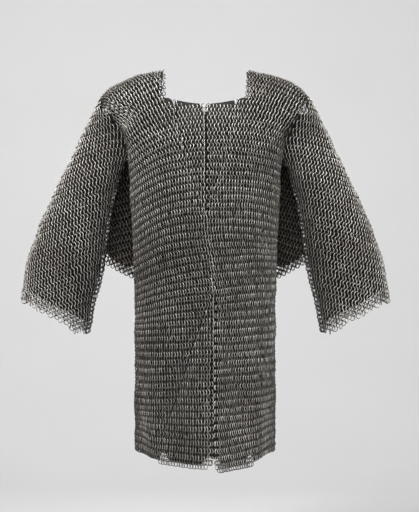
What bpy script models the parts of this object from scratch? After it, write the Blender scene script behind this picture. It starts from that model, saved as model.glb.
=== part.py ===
"""Hauberk: a shirt of linked iron rings with elbow sleeves, built as hanging panels.

The shirt is drawn as it hangs on a wearer. +Z is up, the front faces -Y, and the origin lies
midway between the two shoulder points, where the arms turn. The wearer's right is at -X.
Every panel is a sheet of mail as thick as the turned rings, laid along one drape surface, so
that panels which meet share the same seam. All lengths are in metres.
"""
import math

import bmesh
import bpy
from mathutils import Matrix, Vector

# Overall sizes, measured from the line through the two shoulder points
SHOULDER_HALF_WIDTH = 0.210
SHIRT_DROP = 0.742
SIDE_HEM_RISE = 0.028
RIGHT_HEM_RISE = 0.010
NECK_RISE = 0.056
NECK_HALF_WIDTH = 0.086
NECKLINE_DROP = 0.024
NECKLINE_CURVE = 0.018
SHOULDER_ROUNDING = 0.060

# Trunk: half widths and half depths at the chest, waist and hem
CHEST_HALF_WIDTH = 0.154
WAIST_HALF_WIDTH = 0.142
HEM_HALF_WIDTH = 0.136
NECK_HALF_DEPTH = 0.086
CHEST_HALF_DEPTH = 0.110
BREAST_HALF_DEPTH = 0.116
WAIST_HALF_DEPTH = 0.098
HEM_HALF_DEPTH = 0.094
BACK_DEPTH_SHARE = 0.94
SHOULDER_SEAM_DEPTH = 0.074
SKIRT_FOLD_DEPTH = 0.004
SKIRT_FOLDS = 8

# Underarm fold between the trunk and the hanging sleeve
FOLD_TOP_DROP = 0.110
BREAST_DROP = 0.240
WAIST_DROP = 0.390
WEB_DROP = 0.366
WEB_SLEEVE_DROP = 0.334
WEB_HALF_DEPTH = 0.012

# Sleeve: reach and drop of the outer and inner corners of the cuff
CUFF_OUTER_REACH = 0.374
CUFF_OUTER_DROP = 0.410
CUFF_INNER_REACH = 0.240
CUFF_INNER_DROP = 0.478
SLEEVE_HALF_DEPTH = 0.056
CUFF_BAND = 0.045

# Neck slit with its two flaps, and the skirt's front split with its two flaps
SLIT_DROP = 0.240
NECK_FLAP_WIDTH = 0.074
SLIT_HALF_GAP = 0.0022
SPLIT_OFFSET = 0.017
SPLIT_HALF_GAP = 0.0065
SPLIT_TOP_HALF_GAP = 0.0022
SKIRT_FLAP_WIDTH = 0.104
FLAP_TOP_WIDTH = 0.009

# Mail sheet, cloth lining and the seams between panels
SHEET_THICKNESS = 0.0062
SEAM_GAP = 0.0006
LINING_SETBACK = 0.0010
LINING_THICKNESS = 0.0014
LINING_EDGE_MARGIN = 0.022
LINING_SEAM_MARGIN = 0.008
MOST_INSET_SHARE = 0.5

# Rings
RING_DIAMETER = 0.0130
WIRE_DIAMETER = 0.0016
RING_PITCH = 0.0091
RING_ROW_PITCH = 0.0070
RING_TURN = math.radians(31)
RING_SEGMENTS = 10
WIRE_SIDES = 5
LOOP_OVERHANG = 0.0012
HEM_RINGS = {"right": 10, "left": 8}
CUFF_RINGS = 3
NECK_RINGS = 2

# Hand-chosen shapes of the outline, as shares of the sizes above
RIDGE_WIDTH_SHARES = (0.0, 0.34, 0.53, 0.71, 0.86, 1.0)
RIDGE_HEIGHT_SHARES = (1.0, 0.84, 0.69, 0.535, 0.34, 0.0)
SLEEVE_OUTER_DROP_SHARES = (0.0, 0.127, 0.268, 0.512, 0.673, 0.824, 1.0)
SLEEVE_OUTER_REACH_SHARES = (0.0, 0.171, 0.335, 0.634, 0.805, 0.927, 1.0)
SLEEVE_INNER_DROP_SHARES = (0.0, 0.109, 0.272, 0.435, 0.609, 0.734, 0.889, 1.0)
SLEEVE_INNER_REACH_SHARES = (0.0, 0.205, 0.407, 0.535, 0.640, 0.756, 0.919, 1.0)
SEAM_DROP_SHARES = (0.0, 0.18, 0.45, 0.73, 1.0)
SEAM_REACH_SHARES = (1.0, 0.80, 0.39, 0.11, 0.0)

# Divisions of the panels
CHEST_COLUMN_SHARES = (0.22, 0.42, 0.62, 0.82, 1.0)
BACK_COLUMNS_BESIDE_NECK = 2
LOWER_LEVEL_SHARES = (0.5, 1.0)
UPPER_LEVEL_SHARES = (0.5, 1.0)
SKIRT_LEVELS = 6
YOKE_STEPS_PER_FACE = 4
SLEEVE_COLUMN_SHARES = (0.0, 0.12, 0.26, 0.42, 0.58, 0.74, 0.88, 1.0)
SLEEVE_LEVELS = 4
CUFF_LEVEL_SHARES = (1.0, 0.5, 0.0)
CUFF_EDGE_COLUMNS = 2
FLAP_COLUMNS = 3
WEB_COLUMNS = 3
WEB_ROUND_STEPS = 2
LINING_TOP_STEPS = 3
APEX_SHARE = 0.08
RIM_RANK_SHARES = (0.62, 0.38, 1.0)

# Sides and faces of the shirt, seen by the wearer
RIGHT, LEFT = -1, 1
FRONT, BACK = -1, 1
SIDES = {"right": RIGHT, "left": LEFT}
QUARTER_TURN = math.pi / 2
SETTLE_STEPS = 30
NUDGE_SHARE = 1e-4
MIDDLE = 0.0

SHARP_ANGLE = math.radians(50)

# Finishes: colour, roughness and metallic value
IRON = ((0.20, 0.19, 0.175, 1.0), 0.42, 0.90)
EDGE_IRON = ((0.27, 0.255, 0.235, 1.0), 0.36, 0.92)
LINING_CLOTH = ((0.012, 0.011, 0.010, 1.0), 0.95, 0.0)


def clear_scene():
    for old in list(bpy.data.objects):
        bpy.data.objects.remove(old)


def finish(name, values):
    """A Principled material from its colour, roughness and metallic value."""
    colour, roughness, metallic = values
    material = bpy.data.materials.new(name)
    material.use_nodes = True
    shader = material.node_tree.nodes["Principled BSDF"]
    shader.inputs["Base Color"].default_value = colour
    shader.inputs["Roughness"].default_value = roughness
    shader.inputs["Metallic"].default_value = metallic
    material.diffuse_color = colour
    return material


def smooth_step(value, start, end):
    """0 before start, 1 after end, and an even turn between them."""
    share = min(max((value - start) / (end - start), 0.0), 1.0)
    return share * share * (3 - 2 * share)


class Curve:
    """A smooth curve through given places, without overshoot between them."""

    def __init__(self, places, values):
        if places[0] > places[-1]:
            places = places[::-1]
            values = values[::-1]
        self.places = list(places)
        self.values = list(values)
        self.steps = [b - a for a, b in zip(places, places[1:])]
        slopes = [(b - a) / step for a, b, step in zip(values, values[1:], self.steps)]
        self.tangents = [slopes[0]]
        for i in range(1, len(places) - 1):
            tangent = 0.0
            if slopes[i - 1] * slopes[i] > 0:
                before = self.steps[i - 1] + 2 * self.steps[i]
                after = 2 * self.steps[i - 1] + self.steps[i]
                tangent = (before + after) / (before / slopes[i] + after / slopes[i - 1])
            self.tangents.append(tangent)
        self.tangents.append(slopes[-1])

    def __call__(self, value):
        value = min(max(value, self.places[0]), self.places[-1])
        span = 0
        while span < len(self.steps) - 1 and value > self.places[span + 1]:
            span += 1
        step = self.steps[span]
        t = (value - self.places[span]) / step
        return (self.values[span] * (1 + 2 * t) * (1 - t) ** 2
                + self.tangents[span] * step * t * (1 - t) ** 2
                + self.values[span + 1] * t * t * (3 - 2 * t)
                + self.tangents[span + 1] * step * t * t * (t - 1))


def settle(function, start=0.0):
    """Value that a function returns unchanged, found by going halfway to each answer."""
    value = start
    for _ in range(SETTLE_STEPS):
        value = (value + function(value)) / 2
    return value


def shares_between(shares, start, end):
    """Sizes that lie at the given shares of the way from start to end."""
    return [start + (end - start) * share for share in shares]


# Outline curves

RIDGE = Curve(shares_between(RIDGE_WIDTH_SHARES, NECK_HALF_WIDTH, SHOULDER_HALF_WIDTH),
              shares_between(RIDGE_HEIGHT_SHARES, 0.0, NECK_RISE))
SLEEVE_SEAM = Curve(shares_between(SEAM_DROP_SHARES, 0.0, -FOLD_TOP_DROP),
                    shares_between(SEAM_REACH_SHARES, CHEST_HALF_WIDTH, SHOULDER_HALF_WIDTH))
TRUNK_SIDE = Curve((-FOLD_TOP_DROP, -WEB_DROP, -SHIRT_DROP),
                   (CHEST_HALF_WIDTH, WAIST_HALF_WIDTH, HEM_HALF_WIDTH))
TRUNK_DEPTH = Curve((0.0, -FOLD_TOP_DROP, -BREAST_DROP, -WAIST_DROP, -SHIRT_DROP),
                    (NECK_HALF_DEPTH, CHEST_HALF_DEPTH, BREAST_HALF_DEPTH, WAIST_HALF_DEPTH,
                     HEM_HALF_DEPTH))
SLEEVE_OUTER = Curve(shares_between(SLEEVE_OUTER_DROP_SHARES, 0.0, -CUFF_OUTER_DROP),
                     shares_between(SLEEVE_OUTER_REACH_SHARES, SHOULDER_HALF_WIDTH, CUFF_OUTER_REACH))
SLEEVE_INNER = Curve(shares_between(SLEEVE_INNER_DROP_SHARES, -FOLD_TOP_DROP, -CUFF_INNER_DROP),
                     shares_between(SLEEVE_INNER_REACH_SHARES, CHEST_HALF_WIDTH, CUFF_INNER_REACH))


def trunk_half_width(height):
    """Distance of the trunk's side, and above the fold of the sleeve seam."""
    return SLEEVE_SEAM(height) if height > -FOLD_TOP_DROP else TRUNK_SIDE(height)


def shoulder_seam_depth(height):
    """Half depth at the sleeve seam: wide at the shoulder, narrow along the web, 0 far below it."""
    above = smooth_step(height, -FOLD_TOP_DROP - SHOULDER_ROUNDING, -SHOULDER_ROUNDING / 2)
    closing = smooth_step(height, -WEB_DROP - SHOULDER_ROUNDING, -WEB_SLEEVE_DROP + SHOULDER_ROUNDING / 2)
    return WEB_HALF_DEPTH * closing + (SHOULDER_SEAM_DEPTH - WEB_HALF_DEPTH) * above


def open_seam_depth(height, foot):
    """Half depth of the opening between trunk and sleeve, rounded off at the web's foot."""
    below = min(max((foot + WEB_HALF_DEPTH - height) / WEB_HALF_DEPTH, 0.0), 1.0)
    return shoulder_seam_depth(height) * math.sqrt(1 - below * below)


def sleeve_inner_reach(height):
    """Distance of the sleeve's inner edge: the seam above the fold, free below it."""
    return SLEEVE_SEAM(height) if height > -FOLD_TOP_DROP else SLEEVE_INNER(height)


def ridge_factor(reach, height):
    """How far the sheet has closed towards the shoulder ridge, from 1 below to 0 on it."""
    rise = (height - RIDGE(reach) + SHOULDER_ROUNDING) / SHOULDER_ROUNDING
    rise = min(max(rise, 0.0), 1.0)
    return math.sqrt(1 - rise * rise)


# Drape surface

def trunk_point(side, face, turn, height, factor=None):
    """Point of the trunk's sheet: turn runs from the middle plane to the side or seam."""
    reach = trunk_half_width(height) * math.sin(turn)
    if turn > QUARTER_TURN - NUDGE_SHARE / 2:
        depth = open_seam_depth(height, -WEB_DROP)
    else:
        sharpness = 1 + smooth_step(height, -FOLD_TOP_DROP, -FOLD_TOP_DROP / 3)
        bulge = math.cos(turn) ** sharpness
        seam_depth = shoulder_seam_depth(height)
        depth = seam_depth + (TRUNK_DEPTH(height) - seam_depth) * bulge
        if face == BACK:
            depth *= 1 - (1 - BACK_DEPTH_SHARE) * bulge
    if factor is None:
        factor = ridge_factor(abs(reach), height)
    around = turn if face == FRONT else math.pi - turn
    hang = smooth_step(height, -WAIST_DROP, -SHIRT_DROP)
    wave = SKIRT_FOLD_DEPTH * hang * math.cos(SKIRT_FOLDS * around)
    reach += wave * math.sin(turn)
    depth += wave * math.cos(turn)
    return Vector((side * reach, face * depth * factor, height))


def yoke_point(side, turn, tilt):
    """Point over the shoulder ridge: tilt runs from front to back, a quarter turn each way."""
    drop = SHOULDER_ROUNDING * (1 - math.cos(tilt))
    height = settle(lambda h: RIDGE(trunk_half_width(h) * math.sin(turn)) - drop)
    face = FRONT if tilt < 0 else BACK
    return trunk_point(side, face, turn, height, abs(math.sin(tilt)))


def sleeve_point(side, face, share, height):
    """Point of the sleeve: share runs from its inner edge or seam to its outer edge."""
    inner = sleeve_inner_reach(height)
    loose = smooth_step(height, -SHOULDER_ROUNDING, -FOLD_TOP_DROP - SHOULDER_ROUNDING)
    tight = 1 - loose
    across = tight * math.sin(share * QUARTER_TURN) + loose * (1 - math.cos(share * math.pi)) / 2
    seam = shoulder_seam_depth(height) if share > 0 else open_seam_depth(height, -WEB_SLEEVE_DROP)
    depth = (seam * ridge_factor(inner, height) * math.cos(share * QUARTER_TURN)
             + loose * SLEEVE_HALF_DEPTH * math.sin(share * math.pi))
    return Vector((side * (inner + (SLEEVE_OUTER(height) - inner) * across), face * depth, height))


# Directions across the sheet

def mean_direction(*directions):
    total = Vector((0, 0, 0))
    for direction in directions:
        total += direction
    return total.normalized()


def crossing(along, up, sign):
    """Outward direction between two ways that lie in a sheet."""
    return (along.cross(up) * sign).normalized()


def trunk_normal(side, face, turn, height):
    near = min(turn, QUARTER_TURN - NUDGE_SHARE)
    step = NUDGE_SHARE * SHIRT_DROP
    along = trunk_point(side, face, near, height) - trunk_point(side, face, near - NUDGE_SHARE, height)
    up = trunk_point(side, face, near, height + step) - trunk_point(side, face, near, height - step)
    return crossing(along, up, -side * face)


def yoke_normal(side, turn, tilt):
    near = min(turn, QUARTER_TURN - NUDGE_SHARE)
    along = yoke_point(side, near, tilt) - yoke_point(side, near - NUDGE_SHARE, tilt)
    over = yoke_point(side, near, tilt + NUDGE_SHARE) - yoke_point(side, near, tilt - NUDGE_SHARE)
    return crossing(along, over, side)


def sleeve_normal(side, face, share, height):
    near = min(max(share, 2 * NUDGE_SHARE), 1 - NUDGE_SHARE)
    step = NUDGE_SHARE * SHIRT_DROP
    along = (sleeve_point(side, face, near + NUDGE_SHARE, height)
             - sleeve_point(side, face, near - NUDGE_SHARE, height))
    up = sleeve_point(side, face, near, height + step) - sleeve_point(side, face, near, height - step)
    return crossing(along, up, -side * face)


def seam_direction(side, face, height):
    """Shared direction of trunk and sleeve panels where they meet above the fold."""
    return mean_direction(trunk_normal(side, face, QUARTER_TURN, height),
                          sleeve_normal(side, face, 0.0, height))


def outward(side):
    return Vector((side, 0, 0))


def web_direction(face, level):
    """Outward direction of the web at one of its levels, counted up from the foot."""
    lean = QUARTER_TURN * min(level / WEB_ROUND_STEPS, 1.0)
    return Vector((0, face * math.sin(lean), -math.cos(lean)))


# Panels

def drawn_in(grid, bottom=0.0, top=0.0, start=0.0, end=0.0):
    """A grid with its borders drawn inwards by up to half a cell; top may list one distance per column."""
    points, aims = grid
    moved = [[point.copy() for point in row] for row in points]
    turned = [[aim.copy() for aim in row] for row in aims]
    rows = len(points)
    columns = len(points[0])
    borders = [((0, j), (1, j), bottom) for j in range(columns)]
    tops = top if isinstance(top, list) else [top] * columns
    borders += [((rows - 1, j), (rows - 2, j), tops[j]) for j in range(columns)]
    borders += [((i, 0), (i, 1), start) for i in range(rows)]
    borders += [((i, columns - 1), (i, columns - 2), end) for i in range(rows)]
    for (i, j), (k, l), distance in borders:
        way = points[k][l] - points[i][j]
        share = min(distance / way.length, MOST_INSET_SHARE)
        moved[i][j] += way * share
        turned[i][j] += (aims[k][l] - aims[i][j]) * share
    return moved, turned


def new_object(name, mesh, material):
    """Object from a bmesh, shaded smooth with its sharp edges kept."""
    data = bpy.data.meshes.new(name)
    mesh.to_mesh(data)
    mesh.free()
    data.shade_smooth()
    data.set_sharp_from_angle(angle=SHARP_ANGLE)
    data.materials.append(material)
    item = bpy.data.objects.new(name, data)
    bpy.context.scene.collection.objects.link(item)
    return item


def rim_rank(point):
    """Rank that lets two panels split their facing rims along the same diagonals."""
    return sum(share * abs(part) for share, part in zip(RIM_RANK_SHARES, point))


def panel(name, grid, low, high, material, closed=False):
    """Sheet between two offsets from a grid of points and directions, closed round its rim."""
    points, directions = grid
    inset = SEAM_GAP / 2
    sides = 0.0 if closed else inset
    skins = []
    for offset in (low, high):
        skin = [[p + d * offset for p, d in zip(row, aims)] for row, aims in zip(points, directions)]
        skins.append(drawn_in((skin, directions), inset, inset, sides, sides)[0])
    rows = len(points)
    columns = len(points[0])
    mesh = bmesh.new()
    inner, outer = [[[mesh.verts.new(p) for p in row] for row in skin] for skin in skins]
    rim = []
    for j in range(columns if closed else columns - 1):
        k = (j + 1) % columns
        rim += [(0, j, 0, k), (rows - 1, j, rows - 1, k)]
        for i in range(rows - 1):
            for skin in (inner, outer):
                mesh.faces.new((skin[i][j], skin[i][k], skin[i + 1][k]))
                mesh.faces.new((skin[i][j], skin[i + 1][k], skin[i + 1][j]))
    if not closed:
        for j in (0, columns - 1):
            rim += [(i, j, i + 1, j) for i in range(rows - 1)]
    for i, j, k, l in rim:
        if rim_rank(points[i][j]) > rim_rank(points[k][l]):
            i, j, k, l = k, l, i, j
        mesh.faces.new((inner[i][j], inner[k][l], outer[k][l]))
        mesh.faces.new((inner[i][j], outer[k][l], outer[i][j]))
    bmesh.ops.recalc_face_normals(mesh, faces=mesh.faces)
    return new_object(name, mesh, material)


def mail(name, grid, material, closed=False):
    """A panel of mail, half its thickness to each side of the drape surface."""
    return panel(name, grid, -SHEET_THICKNESS / 2, SHEET_THICKNESS / 2, material, closed)


def lining(name, grid, material):
    """A cloth lining just inside the mail."""
    outer = -SHEET_THICKNESS / 2 - LINING_SETBACK
    return panel(name, grid, outer - LINING_THICKNESS, outer, material)


# Edges of the trunk's panels

def centre_line(height):
    """Place of the middle seam, which leaves the middle plane for the off-centre split."""
    return SPLIT_OFFSET * (1 - smooth_step(height, -WAIST_DROP, -SLIT_DROP))


def neck_fold_reach(height):
    """Distance of the neck flap's fold line from the middle plane."""
    rise = (height + SLIT_DROP) / (SLIT_DROP - NECKLINE_DROP + NECKLINE_CURVE)
    return NECK_FLAP_WIDTH * min(max(rise, 0.0), 1.0)


def skirt_fold_place(side, height):
    """Place along X of a skirt flap's fold line."""
    share = min(max((-WAIST_DROP - height) / (SHIRT_DROP - WAIST_DROP), 0.0), 1.0)
    return SPLIT_OFFSET + (side * SKIRT_FLAP_WIDTH - SPLIT_OFFSET) * share


def turn_at(side, place, height):
    """Turn of the trunk's surface at a place along X."""
    return math.asin(side * place / trunk_half_width(height))


def front_inner_turn(side, height):
    """Inner edge of the fixed front panels, round both flaps."""
    if height > -SLIT_DROP:
        return turn_at(side, side * neck_fold_reach(height), height)
    if height > -WAIST_DROP:
        return turn_at(side, centre_line(height), height)
    return turn_at(side, skirt_fold_place(side, height), height)


def neckline_height(reach):
    share = min(reach / NECK_HALF_WIDTH, 1.0)
    return -NECKLINE_DROP + NECKLINE_CURVE * share * share


def neck_turn():
    """Turn of the column that runs along the side of the neck opening."""
    return math.asin(NECK_HALF_WIDTH / trunk_half_width(NECKLINE_CURVE - NECKLINE_DROP))


def column_top(turn):
    """Height where a column of the chest or back ends under the yoke or at the neckline."""
    beside_neck = turn < neck_turn() - NUDGE_SHARE

    def end_height(height):
        reach = trunk_half_width(height) * math.sin(turn)
        return neckline_height(reach) if beside_neck else RIDGE(reach) - SHOULDER_ROUNDING

    return settle(end_height)


def top_inner_turn(side):
    height = NECKLINE_CURVE - NECKLINE_DROP
    return turn_at(side, side * NECK_FLAP_WIDTH, height)


def chest_columns(side):
    """Shares of the way across the chest; the second column meets the neck's side."""
    inner = top_inner_turn(side)
    return [0.0, (neck_turn() - inner) / (QUARTER_TURN - inner), *CHEST_COLUMN_SHARES]


def yoke_turns(side):
    inner = top_inner_turn(side)
    return [inner + (QUARTER_TURN - inner) * share for share in chest_columns(side)[1:]]


def back_turns(side):
    turns = yoke_turns(side)
    steps = BACK_COLUMNS_BESIDE_NECK
    return [turns[0] * i / steps for i in range(steps)] + turns


def web_levels(share):
    """Heights from the web's rounded foot up to the fold's top, at a share of its width."""
    foot = -WEB_DROP + (WEB_DROP - WEB_SLEEVE_DROP) * share
    leans = [QUARTER_TURN * i / WEB_ROUND_STEPS for i in range(WEB_ROUND_STEPS + 1)]
    levels = [foot + WEB_HALF_DEPTH * (1 - math.cos(lean)) for lean in leans]
    levels += shares_between(LOWER_LEVEL_SHARES, levels[-1], -SLIT_DROP)
    return levels + shares_between(UPPER_LEVEL_SHARES, -SLIT_DROP, -FOLD_TOP_DROP)


def seam_heights():
    """Heights of the side column's points, from the web's foot up to the yoke."""
    top = column_top(QUARTER_TURN)
    return web_levels(0.0) + [(top - FOLD_TOP_DROP) / 2, top]


def level_height(heights, index, top):
    """Height of a level on a column that ends at top, in step with the side column."""
    slit = heights.index(-SLIT_DROP)
    if index <= slit:
        return heights[index]
    share = (heights[index] - heights[slit]) / (heights[-1] - heights[slit])
    return heights[slit] + (top - heights[slit]) * share


def fold_point(side, height):
    """Point of the front's inner edge, where the fold line of either flap is straight."""
    if -WAIST_DROP <= height <= -SLIT_DROP:
        return trunk_point(side, FRONT, front_inner_turn(side, height), height)
    if height > -SLIT_DROP:
        start = -SLIT_DROP
        end = neckline_height(NECK_FLAP_WIDTH)
    else:
        start = -WAIST_DROP
        end = hem_height(side, front_inner_turn(side, -SHIRT_DROP))
    first = trunk_point(side, FRONT, front_inner_turn(side, start), start)
    last = trunk_point(side, FRONT, front_inner_turn(side, end), end)
    return first.lerp(last, (height - start) / (end - start))


def trunk_direction(side, face, turn, heights, index, height):
    """Direction on the chest or back, shared with web or sleeve along the side column."""
    if turn < QUARTER_TURN - NUDGE_SHARE:
        return trunk_normal(side, face, turn, height)
    if index < len(web_levels(0.0)) - 1:
        return mean_direction(outward(side), web_direction(face, index))
    return seam_direction(side, face, heights[index])


def trunk_grid(side, face, tops, turn_of):
    """Points and directions of a chest or back panel, from the web's foot up."""
    heights = seam_heights()
    points = []
    directions = []
    for index in range(len(heights)):
        row = []
        aims = []
        for column, top in enumerate(tops):
            height = level_height(heights, index, top)
            turn = turn_of(column, height)
            if column == 0 and face == FRONT:
                row.append(fold_point(side, height))
            else:
                row.append(trunk_point(side, face, turn, height))
            aims.append(trunk_direction(side, face, turn, heights, index, height))
        points.append(row)
        directions.append(aims)
    return points, directions


def chest_grid(side):
    shares = chest_columns(side)
    inner = top_inner_turn(side)
    tops = [column_top(inner + (QUARTER_TURN - inner) * share) for share in shares]

    def turn_of(column, height):
        start = front_inner_turn(side, height)
        return start + (QUARTER_TURN - start) * shares[column]

    return trunk_grid(side, FRONT, tops, turn_of)


def back_grid(side):
    turns = back_turns(side)
    return trunk_grid(side, BACK, [column_top(turn) for turn in turns], lambda column, height: turns[column])


def hem_height(side, turn):
    """Height of the hem, which rises to the sides and a little on the wearer's right."""
    middle = RIGHT_HEM_RISE if side == RIGHT else 0.0
    return -SHIRT_DROP + middle + (SIDE_HEM_RISE - middle) * math.sin(turn) ** 2


def skirt_heights(hem):
    """Heights of a skirt column: its hem, the lining's edge, and even steps to the web's foot."""
    lined = hem + LINING_EDGE_MARGIN
    steps = SKIRT_LEVELS - 1
    return [hem] + [lined + (-WEB_DROP - lined) * i / steps for i in range(steps + 1)]


def skirt_grid(side, face, inner_turn, shares):
    """Points and directions of a skirt panel, from the hem up to the level of the web's foot."""
    points = []
    directions = []
    first = inner_turn(-SHIRT_DROP)
    for i in range(SKIRT_LEVELS + 1):
        row = []
        aims = []
        for share in shares:
            height = skirt_heights(hem_height(side, first + (QUARTER_TURN - first) * share))[i]
            begin = inner_turn(height)
            turn = begin + (QUARTER_TURN - begin) * share
            if share == 0 and face == FRONT:
                row.append(fold_point(side, height))
            else:
                row.append(trunk_point(side, face, turn, height))
            if share < 1:
                aims.append(trunk_normal(side, face, turn, height))
            elif i < SKIRT_LEVELS:
                aims.append(outward(side))
            else:
                aims.append(mean_direction(outward(side), web_direction(face, 0)))
        points.append(row)
        directions.append(aims)
    return points, directions


def flap_grid(side, fold_heights, edge_shift, span_of):
    """Points and directions of a flap, whose rows meet its fold line at the given heights."""
    points = []
    directions = []
    last = len(fold_heights) - 1
    for i, fold_height in enumerate(fold_heights):
        row = []
        aims = []
        for j in range(FLAP_COLUMNS + 1):
            share = j / FLAP_COLUMNS
            height = fold_height + edge_shift(share, i / last)
            begin, end = span_of(height)
            turn = begin + (end - begin) * share
            row.append(trunk_point(side, FRONT, turn, height) if share < 1 else fold_point(side, height))
            aims.append(trunk_normal(side, FRONT, turn, height))
        points.append(row)
        directions.append(aims)
    return points, directions


def skirt_flap_grid(side):
    """Front flap of the skirt, from the split's edge to its fold line."""
    def span_of(height):
        drop = min((-WAIST_DROP - height) / (SHIRT_DROP - WAIST_DROP), 1.0)
        opening = SPLIT_TOP_HALF_GAP + (SPLIT_HALF_GAP - SPLIT_TOP_HALF_GAP) * drop
        return (turn_at(side, SPLIT_OFFSET + side * opening, height),
                turn_at(side, skirt_fold_place(side, height), height))

    first, last = span_of(-SHIRT_DROP)
    fold_hem = hem_height(side, last)
    foot_width = SKIRT_FLAP_WIDTH - side * SPLIT_OFFSET
    apex = -WAIST_DROP - (SHIRT_DROP - WAIST_DROP) * FLAP_TOP_WIDTH / foot_width
    heights = [height for height in skirt_heights(fold_hem) if height < apex] + [apex]

    def edge_shift(share, rise):
        return (hem_height(side, first + (last - first) * share) - fold_hem) * (1 - rise)

    return flap_grid(side, heights, edge_shift, span_of)


def neck_flap_grid(side):
    """Neck flap, from the slit to its fold line."""
    def span_of(height):
        return (turn_at(side, side * SLIT_HALF_GAP, height),
                turn_at(side, side * neck_fold_reach(height), height))

    fold_top = neckline_height(NECK_FLAP_WIDTH)
    apex = -SLIT_DROP + (SLIT_DROP + fold_top) * FLAP_TOP_WIDTH / NECK_FLAP_WIDTH
    levels = seam_heights()
    slit = levels.index(-SLIT_DROP)
    heights = [level_height(levels, i, fold_top) for i in range(slit + 1, len(levels))]

    def edge_shift(share, rise):
        return (neckline_height(NECK_FLAP_WIDTH * share) - fold_top) * rise

    return flap_grid(side, [apex] + [height for height in heights if height > apex], edge_shift, span_of)


# Sleeves

def cuff_height(reach):
    """Height of the slanted cuff edge at a distance from the middle plane."""
    share = (CUFF_OUTER_REACH - reach) / (CUFF_OUTER_REACH - CUFF_INNER_REACH)
    return -CUFF_OUTER_DROP - (CUFF_INNER_DROP - CUFF_OUTER_DROP) * share


def sleeve_end(share, rise):
    """Height where a line down the sleeve meets the cuff edge, or a band above it."""
    return settle(lambda h: cuff_height(sleeve_point(LEFT, FRONT, share, h).x) + rise, -CUFF_OUTER_DROP)


def sleeve_direction(side, face, share, height):
    """Direction on the sleeve away from its seams."""
    if share == 0:
        return outward(-side)
    if share == 1:
        return mean_direction(sleeve_normal(side, face, 1.0, height),
                              sleeve_normal(side, -face, 1.0, height))
    return sleeve_normal(side, face, share, height)


def cap_height():
    """Height of the sleeve's first row, one step of the yoke below the shoulder point."""
    return yoke_point(LEFT, QUARTER_TURN, QUARTER_TURN / YOKE_STEPS_PER_FACE).z


def shoulder_cap_row(side, face):
    """First row of the sleeve, straight from the seam to the yoke's outer corner."""
    height = cap_height()
    inner = sleeve_point(side, face, 0.0, height)
    outer = sleeve_point(side, face, 1, height)
    inner_aim = seam_direction(side, face, height)
    outer_aim = sleeve_direction(side, face, 1, height)
    shares = [math.sin(share * QUARTER_TURN) for share in SLEEVE_COLUMN_SHARES]
    return ([inner.lerp(outer, share) for share in shares],
            [inner_aim.lerp(outer_aim, share) for share in shares])


def sleeve_heights():
    """Heights and web levels of the sleeve's rows from its second row to the web's foot."""
    yoke = [yoke_point(LEFT, QUARTER_TURN, QUARTER_TURN * i / YOKE_STEPS_PER_FACE).z
            for i in range(2, YOKE_STEPS_PER_FACE)]
    levels = web_levels(1.0)
    seam = seam_heights()[:len(levels) - 2:-1]
    web = list(enumerate(levels))[-2::-1]
    return [(height, None) for height in yoke + seam] + [(height, level) for level, height in web]


def sleeve_grid(side, face):
    """Points and directions of the sleeve's front or back, down to the cuff band."""
    row, aims = shoulder_cap_row(side, face)
    points = [row]
    directions = [aims]
    for height, level in sleeve_heights():
        row = [sleeve_point(side, face, share, height) for share in SLEEVE_COLUMN_SHARES]
        aims = [sleeve_direction(side, face, share, height) for share in SLEEVE_COLUMN_SHARES]
        if level is None:
            aims[0] = seam_direction(side, face, height)
        else:
            aims[0] = mean_direction(outward(-side), web_direction(face, level))
        points.append(row)
        directions.append(aims)
    foot = -WEB_SLEEVE_DROP
    for i in range(1, SLEEVE_LEVELS + 1):
        row = []
        aims = []
        for share in SLEEVE_COLUMN_SHARES:
            height = foot + (sleeve_end(share, CUFF_BAND) - foot) * i / SLEEVE_LEVELS
            row.append(sleeve_point(side, face, share, height))
            aims.append(sleeve_direction(side, face, share, height))
        points.append(row)
        directions.append(aims)
    return points, directions


def cuff_grid(side):
    """Points and directions of the closed band round the cuff."""
    round_trip = [(FRONT, share) for share in SLEEVE_COLUMN_SHARES]
    round_trip += [(BACK, share) for share in SLEEVE_COLUMN_SHARES[-2:0:-1]]
    points = []
    directions = []
    for rise in shares_between(CUFF_LEVEL_SHARES, 0.0, CUFF_BAND):
        row = []
        aims = []
        for face, share in round_trip:
            height = sleeve_end(share, rise)
            row.append(sleeve_point(side, face, share, height))
            aims.append(sleeve_direction(side, face, share, height))
        points.append(row)
        directions.append(aims)
    return points, directions


def sleeve_lining_grid(side):
    """Points and directions from the front seam round to the back seam, into the cuff."""
    front, front_aims = sleeve_grid(side, FRONT)
    back, back_aims = sleeve_grid(side, BACK)
    cuff, cuff_aims = cuff_grid(side)
    points = [a + b[-2::-1] for a, b in zip(front, back)][LINING_TOP_STEPS:]
    directions = [a + b[-2::-1] for a, b in zip(front_aims, back_aims)][LINING_TOP_STEPS:]
    return points + [cuff[1] + cuff[1][:1]], directions + [cuff_aims[1] + cuff_aims[1][:1]]


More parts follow.
